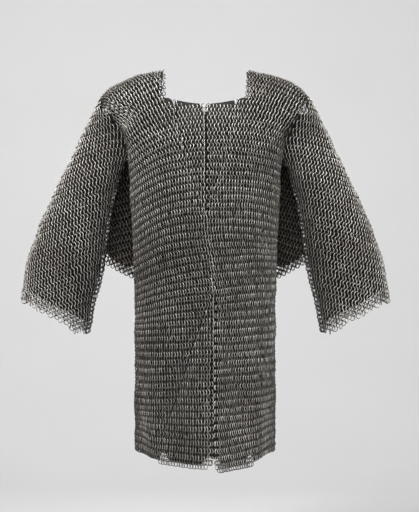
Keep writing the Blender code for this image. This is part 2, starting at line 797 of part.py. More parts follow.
def web_grid(side):
    """Points and directions of the underarm web: down its front, round the foot, up the back."""
    shares = [i / WEB_COLUMNS for i in range(WEB_COLUMNS + 1)]
    inner_levels = web_levels(0.0)
    outer_levels = web_levels(1.0)
    halves = []
    for face in (FRONT, BACK):
        rows = []
        for level, (inner_height, outer_height) in enumerate(zip(inner_levels, outer_levels)):
            inner = trunk_point(side, face, QUARTER_TURN, inner_height)
            outer = sleeve_point(side, face, 0.0, outer_height)
            flat = web_direction(face, level)
            aims = [flat] * len(shares)
            aims[0] = mean_direction(flat, outward(side))
            aims[-1] = mean_direction(flat, outward(-side))
            rows.append(([inner.lerp(outer, share) for share in shares], aims))
        seam = seam_direction(side, face, -FOLD_TOP_DROP)
        top, below = rows[-1][0], rows[-2][0]
        row = [a.lerp(b, APEX_SHARE) for a, b in zip(top, below)]
        aims = [seam.lerp(aim, APEX_SHARE).normalized() for aim in rows[-2][1]]
        rows[-1] = (row, aims)
        halves.append(rows)
    loop = halves[0][::-1] + halves[1][1:]
    return [row for row, aims in loop], [aims for row, aims in loop]


def yoke_grid(side):
    """Points and directions over one shoulder, from the front to the back."""
    steps = YOKE_STEPS_PER_FACE
    points = []
    directions = []
    for i in range(-steps, steps + 1):
        tilt = QUARTER_TURN * i / steps
        row = []
        aims = []
        for turn in yoke_turns(side):
            point = yoke_point(side, turn, tilt)
            aim = yoke_normal(side, turn, tilt)
            if turn > QUARTER_TURN - NUDGE_SHARE and i == 0:
                point = sleeve_point(side, FRONT, 1, cap_height())
                aim = sleeve_direction(side, FRONT, 1, cap_height())
            elif turn > QUARTER_TURN - NUDGE_SHARE:
                aim = seam_direction(side, FRONT if i < 0 else BACK, point.z)
            row.append(point)
            aims.append(aim)
        points.append(row)
        directions.append(aims)
    return points, directions


# Rings

def ring_mesh(material):
    """One round wire ring, standing in its own XZ plane."""
    mesh = bmesh.new()
    centre = Matrix.Translation(((RING_DIAMETER - WIRE_DIAMETER) / 2, 0, 0))
    bmesh.ops.create_circle(mesh, segments=WIRE_SIDES, radius=WIRE_DIAMETER / 2, matrix=centre)
    bmesh.ops.spin(mesh, geom=mesh.verts[:] + mesh.edges[:], cent=(0, 0, 0), axis=(0, 1, 0),
                   angle=math.tau, steps=RING_SEGMENTS, use_merge=True)
    bmesh.ops.remove_doubles(mesh, verts=mesh.verts, dist=NUDGE_SHARE * RING_DIAMETER)
    bmesh.ops.recalc_face_normals(mesh, faces=mesh.faces)
    data = bpy.data.meshes.new("ring")
    mesh.to_mesh(data)
    mesh.free()
    data.shade_smooth()
    data.materials.append(material)
    return data


def ring_frame(centre, along, away, turn):
    """Placement of a ring that hangs off an edge and turns out of the sheet."""
    across = Matrix.Rotation(turn, 3, away) @ along
    frame = Matrix((across, away.cross(across), away)).transposed().to_4x4()
    frame.translation = centre
    return frame


def edge_stations(edge, next_to_edge, count):
    """Places one ring pitch apart about an edge's middle, with the ways along and off it."""
    last = len(edge) - 1
    lengths = [0.0]
    for a, b in zip(edge, edge[1:]):
        lengths.append(lengths[-1] + (b - a).length)
    ways = [(edge[min(k + 1, last)] - edge[max(k - 1, 0)]).normalized() for k in range(last + 1)]
    ways_off = [(a - b).normalized() for a, b in zip(edge, next_to_edge)]
    stations = []
    for i in range(count):
        place = lengths[-1] / 2 + (i - (count - 1) / 2) * RING_PITCH
        span = max([k for k in range(last) if lengths[k] <= place], default=0)
        t = (place - lengths[span]) / (lengths[span + 1] - lengths[span])
        along = ways[span].lerp(ways[span + 1], t).normalized()
        away = ways_off[span].lerp(ways_off[span + 1], t)
        away = (away - along * away.dot(along)).normalized()
        stations.append((edge[span].lerp(edge[span + 1], t), along, away))
    return stations


def linked_edge(name, panel_object, edge, next_to_edge, ring_count, ring):
    """Loops fused along a panel's edge, with a loose ring linked through each pair of them."""
    stations = edge_stations(edge, next_to_edge, ring_count + 1)
    mesh = bmesh.new()
    for point, along, away in stations:
        known = len(mesh.verts)
        mesh.from_mesh(ring)
        mesh.verts.ensure_lookup_table()
        place = ring_frame(point + away * LOOP_OVERHANG, along, away, RING_TURN)
        bmesh.ops.transform(mesh, matrix=place, verts=mesh.verts[known:])
    loops = new_object(f"{name}_loops", mesh, ring.materials[0])
    loops.hide_render = True
    loops.display_type = "WIRE"
    union = panel_object.modifiers.new("loops", "BOOLEAN")
    union.operation = "UNION"
    union.solver = "EXACT"
    union.object = loops
    for i, (first, second) in enumerate(zip(stations, stations[1:])):
        along = (second[0] - first[0]).normalized()
        away = first[2] + second[2]
        away = (away - along * away.dot(along)).normalized()
        centre = (first[0] + second[0]) / 2 + away * (LOOP_OVERHANG + RING_ROW_PITCH)
        loose = bpy.data.objects.new(f"{name}_ring_{i + 1:02d}", ring)
        loose.matrix_world = ring_frame(centre, along, away, -RING_TURN)
        bpy.context.scene.collection.objects.link(loose)


# Assembly

def joined(lower, upper):
    """One grid from two that share a row."""
    return tuple(below + above[1:] for below, above in zip(lower, upper))


def above_hem(grid):
    """A grid without the row along its hem."""
    return tuple(rows[1:] for rows in grid)


def build_trunk(label, side, iron, cloth):
    def fold(height):
        return front_inner_turn(side, height)

    chest = chest_grid(side)
    back = back_grid(side)
    side_skirt = skirt_grid(side, FRONT, fold, chest_columns(side))
    back_shares = [turn / QUARTER_TURN for turn in back_turns(side)]
    back_skirt = skirt_grid(side, BACK, lambda height: MIDDLE, back_shares)
    mail(f"{label}_chest", chest, iron)
    mail(f"{label}_back", back, iron)
    mail(f"{label}_side_skirt", side_skirt, iron)
    mail(f"{label}_back_skirt", back_skirt, iron)
    mail(f"{label}_underarm_gusset", web_grid(side), iron)
    for name, lower, upper in (("front", side_skirt, chest), ("back", back_skirt, back)):
        points, aims = above_hem(joined(lower, upper))
        beside_neck = [abs(point.x) < NECK_HALF_WIDTH + LINING_SEAM_MARGIN for point in points[-1]]
        tops = [LINING_EDGE_MARGIN if beside else 0.0 for beside in beside_neck]
        lining(f"{label}_{name}_lining", drawn_in((points, aims), top=tops), cloth)


def build_shoulder(label, side, iron, cloth, ring):
    grid = yoke_grid(side)
    yoke = mail(f"{label}_shoulder", grid, iron)
    margin = LINING_SEAM_MARGIN
    lining(f"{label}_shoulder_lining", drawn_in(grid, margin, margin, margin, margin), cloth)
    if side == LEFT:
        edge = [row[0] for row in grid[0][:YOKE_STEPS_PER_FACE]]
        linked_edge("neck", yoke, edge, [row[1] for row in grid[0]], NECK_RINGS, ring)


def build_flaps(label, side, iron, cloth, ring):
    margin = LINING_SEAM_MARGIN
    grid = neck_flap_grid(side)
    mail(f"{label}_neck_flap", grid, iron)
    lining(f"{label}_neck_flap_lining", drawn_in(grid, margin, LINING_EDGE_MARGIN, margin), cloth)
    grid = skirt_flap_grid(side)
    flap = mail(f"{label}_front_skirt", grid, iron)
    linked_edge(f"{label}_hem", flap, grid[0][0], grid[0][1], HEM_RINGS[label], ring)
    lining(f"{label}_front_skirt_lining", drawn_in(above_hem(grid), top=margin, start=margin), cloth)


def build_sleeve(label, side, iron, cloth, ring):
    for name, face in (("front", FRONT), ("back", BACK)):
        mail(f"{label}_sleeve_{name}", sleeve_grid(side, face), iron)
    points, aims = cuff_grid(side)
    cuff = mail(f"{label}_cuff", (points, aims), iron, closed=True)
    corner = slice(1, 2 + CUFF_EDGE_COLUMNS)
    linked_edge(f"{label}_cuff", cuff, points[-1][corner], points[-2][corner], CUFF_RINGS, ring)
    margin = LINING_SEAM_MARGIN
    lining(f"{label}_sleeve_lining", drawn_in(sleeve_lining_grid(side), start=margin, end=margin), cloth)


def build():
    clear_scene()
    iron = finish("mail_iron", IRON)
    cloth = finish("lining_cloth", LINING_CLOTH)
    ring = ring_mesh(finish("edge_ring_iron", EDGE_IRON))
    for label, side in SIDES.items():
        build_trunk(label, side, iron, cloth)
        build_shoulder(label, side, iron, cloth, ring)
        build_flaps(label, side, iron, cloth, ring)
        build_sleeve(label, side, iron, cloth, ring)


build()
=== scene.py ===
"""Hauberk of linked iron rings: the dressed model, its studio and its camera.

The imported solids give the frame. Every panel of mail is replaced by separate riveted rings,
laid row by row on the same drape surface as the solids and leaning alternately, so that each
ring passes through four others. The cloth lining behind them is made from the lining solids.
Lengths are in metres, +Z is up, the front faces -Y and the wearer's right is at -X.
"""

import logging
import math
from dataclasses import dataclass
from enum import Enum, IntEnum

import bmesh
import bpy
import numpy as np
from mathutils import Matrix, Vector


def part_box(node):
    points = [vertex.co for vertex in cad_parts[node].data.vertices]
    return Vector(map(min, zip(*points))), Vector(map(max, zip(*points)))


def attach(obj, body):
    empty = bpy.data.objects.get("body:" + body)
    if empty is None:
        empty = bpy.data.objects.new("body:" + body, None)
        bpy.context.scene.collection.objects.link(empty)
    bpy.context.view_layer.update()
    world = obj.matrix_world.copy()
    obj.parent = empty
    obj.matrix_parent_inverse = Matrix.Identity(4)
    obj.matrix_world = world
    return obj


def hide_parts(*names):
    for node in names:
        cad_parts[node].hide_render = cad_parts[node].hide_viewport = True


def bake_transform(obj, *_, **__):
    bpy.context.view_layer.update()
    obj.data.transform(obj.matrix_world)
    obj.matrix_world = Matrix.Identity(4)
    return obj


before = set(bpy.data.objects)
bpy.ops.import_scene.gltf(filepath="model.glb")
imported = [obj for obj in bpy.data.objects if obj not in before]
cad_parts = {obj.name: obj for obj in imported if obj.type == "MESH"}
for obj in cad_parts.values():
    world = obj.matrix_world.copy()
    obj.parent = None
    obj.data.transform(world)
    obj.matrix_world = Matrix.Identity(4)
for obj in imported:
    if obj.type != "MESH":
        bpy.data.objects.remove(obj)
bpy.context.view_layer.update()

LOG = logging.getLogger("hauberk")
QUARTER = math.pi / 2

Colour = tuple[float, float, float, float]


class Sign(IntEnum):
    """A choice that is the sign of a coordinate and a word in the solids' names."""

    @property
    def label(self) -> str:
        """The word as the solids' names have it."""
        return self.name.lower()


class Side(Sign):
    """The two halves of the shirt, as the wearer names them, by the sign of X."""

    RIGHT = -1
    LEFT = 1


class Face(Sign):
    """The two sheets of the shirt, by the sign of Y."""

    FRONT = -1
    BACK = 1


class Held(Enum):
    """How a cloth piece is held."""

    HUNG = "hung"


class Flap(Enum):
    """The flaps of each half's front, with the bodies that they move with."""

    NECK = "neck_flap"
    SKIRT = "skirt_flap"

    @property
    def node(self) -> str:
        """Name of the flap's solid after its side."""
        return "front_skirt" if self is Flap.SKIRT else self.value


class Slot(Enum):
    """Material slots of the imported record."""

    MAIL = "mail_iron"
    EDGE = "edge_ring_iron"
    CLOTH = "lining_cloth"


class Cloth(Enum):
    """The pieces of each half's lining, as their solids are named after the side."""

    FRONT = "front_lining"
    BACK = "back_lining"
    SHOULDER = "shoulder_lining"
    SLEEVE = "sleeve_lining"
    NECK_FLAP = "neck_flap_lining"
    FRONT_SKIRT = "front_skirt_lining"


def smooth_step(value: np.ndarray, start: float, end: float) -> np.ndarray:
    """0 before start, 1 after end, and an even turn between them."""
    share = np.clip((value - start) / (end - start), 0.0, 1.0)
    return share * share * (3 - 2 * share)


@dataclass(frozen=True)
class TrunkSizes:
    """Sizes of the trunk, measured from the line through the shoulder points."""

    shoulder_half_width: float = 0.210
    shirt_drop: float = 0.742
    side_hem_rise: float = 0.028
    right_hem_rise: float = 0.010
    neck_rise: float = 0.056
    neck_half_width: float = 0.086
    neckline_drop: float = 0.024
    neckline_curve: float = 0.018
    shoulder_rounding: float = 0.060
    chest_half_width: float = 0.154
    waist_half_width: float = 0.142
    hem_half_width: float = 0.136
    neck_half_depth: float = 0.086
    chest_half_depth: float = 0.110
    breast_half_depth: float = 0.116
    waist_half_depth: float = 0.098
    hem_half_depth: float = 0.094
    back_depth_share: float = 0.94
    shoulder_seam_depth: float = 0.074
    skirt_fold_depth: float = 0.004
    skirt_folds: int = 8
    fold_top_drop: float = 0.110
    breast_drop: float = 0.240
    waist_drop: float = 0.390
    web_drop: float = 0.366
    web_sleeve_drop: float = 0.334
    web_half_depth: float = 0.012
    slit_drop: float = 0.240
    slit_half_gap: float = 0.0022
    neck_flap_width: float = 0.074
    split_offset: float = 0.017
    split_half_gap: float = 0.0065
    split_top_half_gap: float = 0.0022
    skirt_flap_width: float = 0.104


@dataclass(frozen=True)
class SleeveSizes:
    """Reach and drop of the cuff's corners, and the sleeve's depth."""

    outer_reach: float = 0.374
    outer_drop: float = 0.410
    inner_reach: float = 0.240
    inner_drop: float = 0.478
    half_depth: float = 0.056


@dataclass(frozen=True)
class RingSizes:
    """One riveted ring of round wire."""

    diameter: float = 0.0130
    wire: float = 0.0015
    segments: int = 12
    wire_sides: int = 5
    lap_width_share: float = 1.30
    lap_thickness_share: float = 0.72
    lap_half_angle: float = math.radians(34)
    lap_core_share: float = 1 / 3
    rivet_radius: float = 0.00060
    rivet_height: float = 0.00055


@dataclass(frozen=True)
class Ripple:
    """A wave over the shirt: how often it repeats along X, Y and Z, and where it starts."""

    x: float
    y: float
    z: float
    start: float = 0.0

    def __call__(self, angles: np.ndarray) -> np.ndarray:
        """Heights of the wave, from -1 to 1, at points given as angles along X, Y and Z."""
        return np.sin(angles @ np.array((self.x, self.y, self.z)) + self.start)


SLIDE_RIPPLES = (Ripple(1.0, 1.0, 0.31), Ripple(0.43, 0.0, -0.83))
RISE_RIPPLES = (Ripple(0.71, 0.0, -0.52, 1.1), Ripple(0.29, 1.0, 1.13))
SWELL_RIPPLES = (Ripple(0.87, 0.0, 0.64, 2.3), Ripple(0.38, 0.0, -1.21))
LEAN_RIPPLES = (Ripple(1.31, 0.0, 0.92, 0.7), Ripple(0.57, 1.0, -1.63))


@dataclass(frozen=True)
class WeaveSizes:
    """Spacing and lean of the rings in their rows."""

    row_pitch: float = 0.0079
    columns: int = 38
    crowd_share: float = 0.05
    top_spread_share: float = 0.26
    sleeve_pitch: float = 0.0069
    sleeve_row_pitch: float = 0.0083
    close_pitch: float = 0.0048
    wide_pitch: float = 0.0070
    close_lean: float = math.radians(32)
    wide_lean: float = math.radians(46)
    edge_overhang: float = 0.0012
    edge_reach: float = 0.0036
    split_reach: float = 0.0026
    fringe_row_pitch: float = 0.0074
    seam_clearance: float = 0.0066
    # Painted shade, as shares by which rings are darkened: towards the trunk's sides, further down the
    # trunk, at the armpit, along the sleeve seam, and on every other crowded row. A row closer than the
    # first pitch gets its full painted shade; one wider than the second gets none.
    side_dulling: float = 0.80
    skirt_dulling: float = 0.30
    armpit_dulling: float = 0.85
    seam_dulling: float = 0.60
    row_dulling: float = 0.62
    dull_pitch: float = 0.0058
    even_pitch: float = 0.0077
    place_jitter: float = 0.00055
    lean_jitter: float = math.radians(8)
    size_jitter_share: float = 0.03
    ruffle_slide: float = 0.0009
    ruffle_swell: float = 0.0012
    ruffle_lean: float = math.radians(7)
    ruffle_length: float = 0.085

    def lean(self, pitch: np.ndarray) -> np.ndarray:
        """Lean of rings that stand a pitch apart, steeper where they hang wide."""
        loose = smooth_step(pitch, self.close_pitch, self.wide_pitch)
        return self.close_lean + (self.wide_lean - self.close_lean) * loose

    def ruffled(self, found: "Stations") -> "Stations":
        """The rings shifted, swelled and leant together in soft patches, as hanging mail settles.

        Args:
            found: the rings, where their rows place them.

        Returns:
            The same rings, each a little out of its row.
        """
        angles = found.centres * math.tau / self.ruffle_length
        slide, rise, swell, lean = (
            sum(ripple(angles) for ripple in ripples) / len(ripples)
            for ripples in (SLIDE_RIPPLES, RISE_RIPPLES, SWELL_RIPPLES, LEAN_RIPPLES))
        sides = np.cross(found.ups, found.outs)
        shift = slide[:, None] * sides + rise[:, None] * found.ups
        centres = (found.centres + self.ruffle_slide * shift
                   + self.ruffle_swell * swell[:, None] * found.outs)
        leans = found.leans + np.sign(found.leans) * self.ruffle_lean * lean
        return Stations(centres, found.ups, found.outs, leans, found.wear)


@dataclass(frozen=True)
class RowShape:
    """How the rows sag from the middle of the chest to the sides, and rise to the wearer's left."""

    apex: float = 0.030
    chest_sag: float = 27.0
    skirt_sag: float = 1.0
    sag_top_drop: float = 0.230
    sag_foot_drop: float = 0.500
    chest_tilt: float = 0.01
    waist_tilt: float = 0.11
    hem_tilt: float = 0.05
    waist_tilt_share: float = 0.4
    hem_tilt_share: float = 0.8

    def rise(self, level: float, place: np.ndarray) -> np.ndarray:
        """How much higher than in the middle a row lies at a place along X.

        Args:
            level: the row's height in the middle.
            place: places along X.

        Returns:
            One height for each place.
        """
        low = 1 - smooth_step(np.array(level), -self.sag_foot_drop, -self.sag_top_drop)
        sag = self.chest_sag + (self.skirt_sag - self.chest_sag) * low
        at_waist = smooth_step(low, 0.0, self.waist_tilt_share)
        at_hem = smooth_step(low, self.hem_tilt_share, 1.0)
        tilt = self.chest_tilt + (self.waist_tilt - self.chest_tilt) * at_waist
        tilt = tilt + (self.hem_tilt - self.waist_tilt) * at_hem
        fall = np.abs(place - self.apex) ** 3 - self.apex ** 3
        return tilt * place - sag * fall / 3


RIDGE_WIDTH_SHARES = (0.0, 0.34, 0.53, 0.71, 0.86, 1.0)
RIDGE_HEIGHT_SHARES = (1.0, 0.84, 0.69, 0.535, 0.34, 0.0)
SLEEVE_OUTER_DROP_SHARES = (0.0, 0.127, 0.268, 0.512, 0.673, 0.824, 1.0)
SLEEVE_OUTER_REACH_SHARES = (0.0, 0.171, 0.335, 0.634, 0.805, 0.927, 1.0)
SLEEVE_INNER_DROP_SHARES = (0.0, 0.109, 0.272, 0.435, 0.609, 0.734, 0.889, 1.0)
SLEEVE_INNER_REACH_SHARES = (0.0, 0.205, 0.407, 0.535, 0.640, 0.756, 0.919, 1.0)
SEAM_DROP_SHARES = (0.0, 0.18, 0.45, 0.73, 1.0)
SEAM_REACH_SHARES = (1.0, 0.80, 0.39, 0.11, 0.0)


def unit(vectors: np.ndarray) -> np.ndarray:
    """The vectors, each brought to length 1."""
    return vectors / np.linalg.norm(vectors, axis=-1, keepdims=True)


def between(shares: tuple[float, ...], start: float, end: float) -> np.ndarray:
    """Sizes at the given shares of the way from start to end."""
    return start + (end - start) * np.array(shares)


def lengths_along(points: np.ndarray) -> np.ndarray:
    """Lengths from the first point of a line to each of its points."""
    return np.concatenate([[0.0], np.cumsum(np.linalg.norm(np.diff(points, axis=0), axis=1))])


class Curve:
    """A smooth curve through given places, without overshoot between them."""

    def __init__(self, places: np.ndarray, values: np.ndarray) -> None:
        """Works out how steeply the curve runs through each place.

        Args:
            places: places in rising or falling order.
            values: one value for each place.
        """
        order = np.argsort(places)
        self.places = np.asarray(places, float)[order]
        self.values = np.asarray(values, float)[order]
        self.steps = np.diff(self.places)
        slopes = np.diff(self.values) / self.steps
        self.tangents = np.concatenate([slopes[:1], np.zeros(len(slopes) - 1), slopes[-1:]])
        for i in range(1, len(slopes)):
            if slopes[i - 1] * slopes[i] > 0:
                before = self.steps[i - 1] + 2 * self.steps[i]
                after = 2 * self.steps[i - 1] + self.steps[i]
                self.tangents[i] = (before + after) / (before / slopes[i] + after / slopes[i - 1])

    def __call__(self, value: np.ndarray) -> np.ndarray:
        """Values of the curve, held at its ends.

        Args:
            value: places at which the curve is read.

        Returns:
            One value for each of them.
        """
        value = np.clip(value, self.places[0], self.places[-1])
        span = np.clip(np.searchsorted(self.places, value) - 1, 0, len(self.steps) - 1)
        step = self.steps[span]
        t = (value - self.places[span]) / step
        return (self.values[span] * (1 + 2 * t) * (1 - t) ** 2
                + self.tangents[span] * step * t * (1 - t) ** 2
                + self.values[span + 1] * t * t * (3 - 2 * t)
                + self.tangents[span + 1] * step * t * t * (t - 1))


class Drape:
    """The drape surface that solids and rings share, for arrays of places."""

    SETTLE_STEPS = 12
    SHARP_SHARE = 1 / 3

    def __init__(self, trunk: TrunkSizes, sleeve: SleeveSizes) -> None:
        """Builds the outline curves from the sizes.

        Args:
            trunk: sizes of the trunk.
            sleeve: sizes of the sleeves.
        """
        self.t = trunk
        self.s = sleeve
        t, s = trunk, sleeve
        self.ridge = Curve(between(RIDGE_WIDTH_SHARES, t.neck_half_width, t.shoulder_half_width),
                           between(RIDGE_HEIGHT_SHARES, 0.0, t.neck_rise))
        self.seam = Curve(between(SEAM_DROP_SHARES, 0.0, -t.fold_top_drop),
                          between(SEAM_REACH_SHARES, t.chest_half_width, t.shoulder_half_width))
        self.trunk_side = Curve(np.array((-t.fold_top_drop, -t.web_drop, -t.shirt_drop)),
                                np.array((t.chest_half_width, t.waist_half_width, t.hem_half_width)))
        self.trunk_depth = Curve(
            np.array((0.0, -t.fold_top_drop, -t.breast_drop, -t.waist_drop, -t.shirt_drop)),
            np.array((t.neck_half_depth, t.chest_half_depth, t.breast_half_depth,
                      t.waist_half_depth, t.hem_half_depth)))
        self.sleeve_outer = Curve(between(SLEEVE_OUTER_DROP_SHARES, 0.0, -s.outer_drop),
                                  between(SLEEVE_OUTER_REACH_SHARES, t.shoulder_half_width, s.outer_reach))
        self.sleeve_inner = Curve(between(SLEEVE_INNER_DROP_SHARES, -t.fold_top_drop, -s.inner_drop),
                                  between(SLEEVE_INNER_REACH_SHARES, t.chest_half_width, s.inner_reach))
        self.over_ridge = QUARTER * math.hypot(t.shoulder_rounding, t.shoulder_seam_depth) / math.sqrt(2)

    def half_width(self, height: np.ndarray) -> np.ndarray:
        """Distance of the trunk's side, and above the fold of the sleeve seam."""
        return np.where(height > -self.t.fold_top_drop, self.seam(height), self.trunk_side(height))

    def seam_depth(self, height: np.ndarray) -> np.ndarray:
        """Half depth at the sleeve seam.

        Args:
            height: heights of the points.

        Returns:
            One half depth for each height.
        """
        t = self.t
        above = smooth_step(height, -t.fold_top_drop - t.shoulder_rounding, -t.shoulder_rounding / 2)
        closing = smooth_step(height, -t.web_drop - t.shoulder_rounding,
                              -t.web_sleeve_drop + t.shoulder_rounding / 2)
        return t.web_half_depth * closing + (t.shoulder_seam_depth - t.web_half_depth) * above

    def bulge(self, turn: np.ndarray, height: np.ndarray) -> np.ndarray:
        """Share of the way from the seam's depth to the middle's, narrower above the chest.

        Args:
            turn: angles from the middle plane to the side or seam.
            height: heights of the points.

        Returns:
            0 at the side or seam, and 1 in the middle.
        """
        top = self.t.fold_top_drop
        sharpness = 1 + smooth_step(height, -top, -top * self.SHARP_SHARE)
        return np.clip(np.cos(turn), 0.0, 1.0) ** sharpness

    def ridge_factor(self, reach: np.ndarray, height: np.ndarray) -> np.ndarray:
        """How far the sheet has closed towards the shoulder ridge.

        Args:
            reach: distances from the middle plane.
            height: heights of the points.

        Returns:
            1 where front and back stand apart, and 0 where they meet on the ridge.
        """
        rounding = self.t.shoulder_rounding
        rise = np.clip((height - self.ridge(reach) + rounding) / rounding, 0.0, 1.0)
        return np.sqrt(1 - rise * rise)

    def trunk(self, side: Side, face: Face, turn: np.ndarray, height: np.ndarray,
              factor: np.ndarray | None = None) -> np.ndarray:
        """Points of the trunk's sheet.

        Args:
            side: the wearer's side.
            face: the front or the back.
            turn: angles from the middle plane to the side or seam.
            height: heights of the points.
            factor: how far the sheet has closed, where the ridge doesn't say it.

        Returns:
            One point for each turn and height.
        """
        t = self.t
        turn, height = np.broadcast_arrays(np.asarray(turn, float), np.asarray(height, float))
        reach = self.half_width(height) * np.sin(turn)
        bulge = self.bulge(turn, height)
        seam = self.seam_depth(height)
        depth = seam + (self.trunk_depth(height) - seam) * bulge
        if face is Face.BACK:
            depth = depth * (1 - (1 - t.back_depth_share) * bulge)
        if factor is None:
            factor = self.ridge_factor(np.abs(reach), height)
        around = turn if face is Face.FRONT else math.pi - turn
        hang = smooth_step(height, -t.waist_drop, -t.shirt_drop)
        wave = t.skirt_fold_depth * hang * np.cos(t.skirt_folds * around)
        reach = reach + wave * np.sin(turn)
        depth = (depth + wave * np.cos(turn)) * factor
        depth = depth + (self.fold_shift(side, reach, height) if face is Face.FRONT else 0.0)
        return np.stack([side * reach, face * depth, height], axis=-1)

    def fold_shift(self, side: Side, reach: np.ndarray, height: np.ndarray) -> np.ndarray:
        """How much deeper the sheet lies where a flap's fold line is drawn straight.

        Args:
            side: the wearer's side.
            reach: distances from the middle plane, to this side.
            height: heights of the points.

        Returns:
            What is added to each point's distance from the plane between front and back.
        """
        t = self.t
        shift = np.zeros_like(height)
        neck_fold = (-t.slit_drop, self.neckline(t.neck_flap_width),
                     side * t.slit_half_gap, side * t.neck_flap_width)
        skirt_fold = (-t.waist_drop, -t.shirt_drop, t.split_offset, side * t.skirt_flap_width)
        for start, end, inner, outer in (neck_fold, skirt_fold):
            share = np.clip((height - start) / (end - start), 0.0, 1.0)
            bow = 4 * share * (1 - share)
            fold = side * (inner + (outer - inner) * share)
            edge = side * inner
            inside = np.clip((reach - edge) / np.maximum(fold - edge, t.slit_half_gap), 0.0, 1.0)
            outside = np.clip((reach - fold) / (t.neck_flap_width / 2), 0.0, 1.0)
            weight = np.where(reach < fold, inside ** 2, (1 - outside) ** 2)
            shift = shift - self.fold_bow(side, start, end, inner, outer) * bow * weight
        return shift

    def fold_bow(self, side: Side, start: float, end: float, inner: float, outer: float) -> float:
        """Greatest depth between a fold line's straight chord and the smooth sheet.

        Args:
            side: the wearer's side.
            start: height of the line's inner end.
            end: height of its outer end.
            inner: place along X of its inner end.
            outer: place along X of its outer end.

        Returns:
            The depth at the middle of the line.
        """
        t = self.t
        heights = np.array((start, (start + end) / 2, end))
        places = np.array((inner, (inner + outer) / 2, outer))
        turn = np.arcsin(side * places / self.half_width(heights))
        seam = self.seam_depth(heights)
        depth = seam + (self.trunk_depth(heights) - seam) * self.bulge(turn, heights)
        depth = depth * self.ridge_factor(np.abs(places), heights)
        return float(depth[1] - (depth[0] + depth[2]) / 2)

    def neckline(self, reach: np.ndarray) -> np.ndarray:
        """Height of the neck opening's edge."""
        share = np.clip(np.abs(reach) / self.t.neck_half_width, 0.0, 1.0)
        return -self.t.neckline_drop + self.t.neckline_curve * share * share

    def centre_place(self, side: Side, height: np.ndarray) -> np.ndarray:
        """Place along X where a half of the front ends: slit, middle seam or split.

        Args:
            side: the wearer's side.
            height: heights along the edge.

        Returns:
            One place for each height.
        """
        t = self.t
        seam = t.split_offset * (1 - smooth_step(height, -t.waist_drop, -t.slit_drop))
        drop = np.clip((-t.waist_drop - height) / (t.shirt_drop - t.waist_drop), 0.0, 1.0)
        opening = t.split_top_half_gap + (t.split_half_gap - t.split_top_half_gap) * drop
        place = np.where(height > -t.slit_drop, side * t.slit_half_gap, seam)
        return np.where(height < -t.waist_drop, t.split_offset + side * opening, place)

    def sheet(self, side: Side, face: Face, share: np.ndarray,
              rise: np.ndarray) -> tuple[np.ndarray, np.ndarray]:
        """Points of a half of the trunk, and how far each has gone towards the ridge.

        Args:
            side: the wearer's side.
            face: the front or the back.
            share: shares of the turn from the middle to the side or seam.
            rise: heights, counted on round the shoulder above the flat of the sheet.

        Returns:
            The points, and the length left before each reaches the shoulder ridge.
        """
        t = self.t
        middle = self.centre_place(side, rise) if face is Face.FRONT else np.zeros_like(rise)
        begin = np.arcsin(np.clip(side * middle / self.half_width(rise), -1.0, 1.0))
        turn = begin + (QUARTER - begin) * share
        height = np.minimum(rise, t.neck_rise)
        for _ in range(self.SETTLE_STEPS):
            start = self.ridge(self.half_width(height) * np.sin(turn)) - t.shoulder_rounding
            left = self.over_ridge - (rise - start)
            tilt = QUARTER * np.clip(left / self.over_ridge, 0.0, 1.0)
            over = start + t.shoulder_rounding * np.cos(tilt)
            height = np.where(rise > start, over, rise)
        points = self.trunk(side, face, turn, height)
        rounded = self.trunk(side, face, turn, height, np.sin(tilt))
        return np.where((rise > start)[..., None], rounded, points), left

    def sleeve(self, side: Side, face: Face, share: np.ndarray, height: np.ndarray) -> np.ndarray:
        """Points of the sleeve's sheet.

        Args:
            side: the wearer's side.
            face: the front or the back.
            share: shares of the way from the inner edge or seam to the outer edge.
            height: heights of the points.

        Returns:
            One point for each share and height.
        """
        t = self.t
        share, height = np.broadcast_arrays(np.asarray(share, float), np.asarray(height, float))
        inner = np.where(height > -t.fold_top_drop, self.seam(height), self.sleeve_inner(height))
        loose = smooth_step(height, -t.shoulder_rounding, -t.fold_top_drop - t.shoulder_rounding)
        across = (1 - loose) * np.sin(share * QUARTER) + loose * (1 - np.cos(share * math.pi)) / 2
        depth = (self.seam_depth(height) * self.ridge_factor(inner, height) * np.cos(share * QUARTER)
                 + loose * self.s.half_depth * np.sin(share * math.pi))
        reach = inner + (self.sleeve_outer(height) - inner) * across
        return np.stack([side * reach, face * depth, height], axis=-1)

    def cuff_height(self, reach: np.ndarray) -> np.ndarray:
        """Height of the slanted cuff edge.

        Args:
            reach: distances from the middle plane.

        Returns:
            One height for each distance.
        """
        s = self.s
        share = (s.outer_reach - reach) / (s.outer_reach - s.inner_reach)
        return -s.outer_drop - (s.inner_drop - s.outer_drop) * share


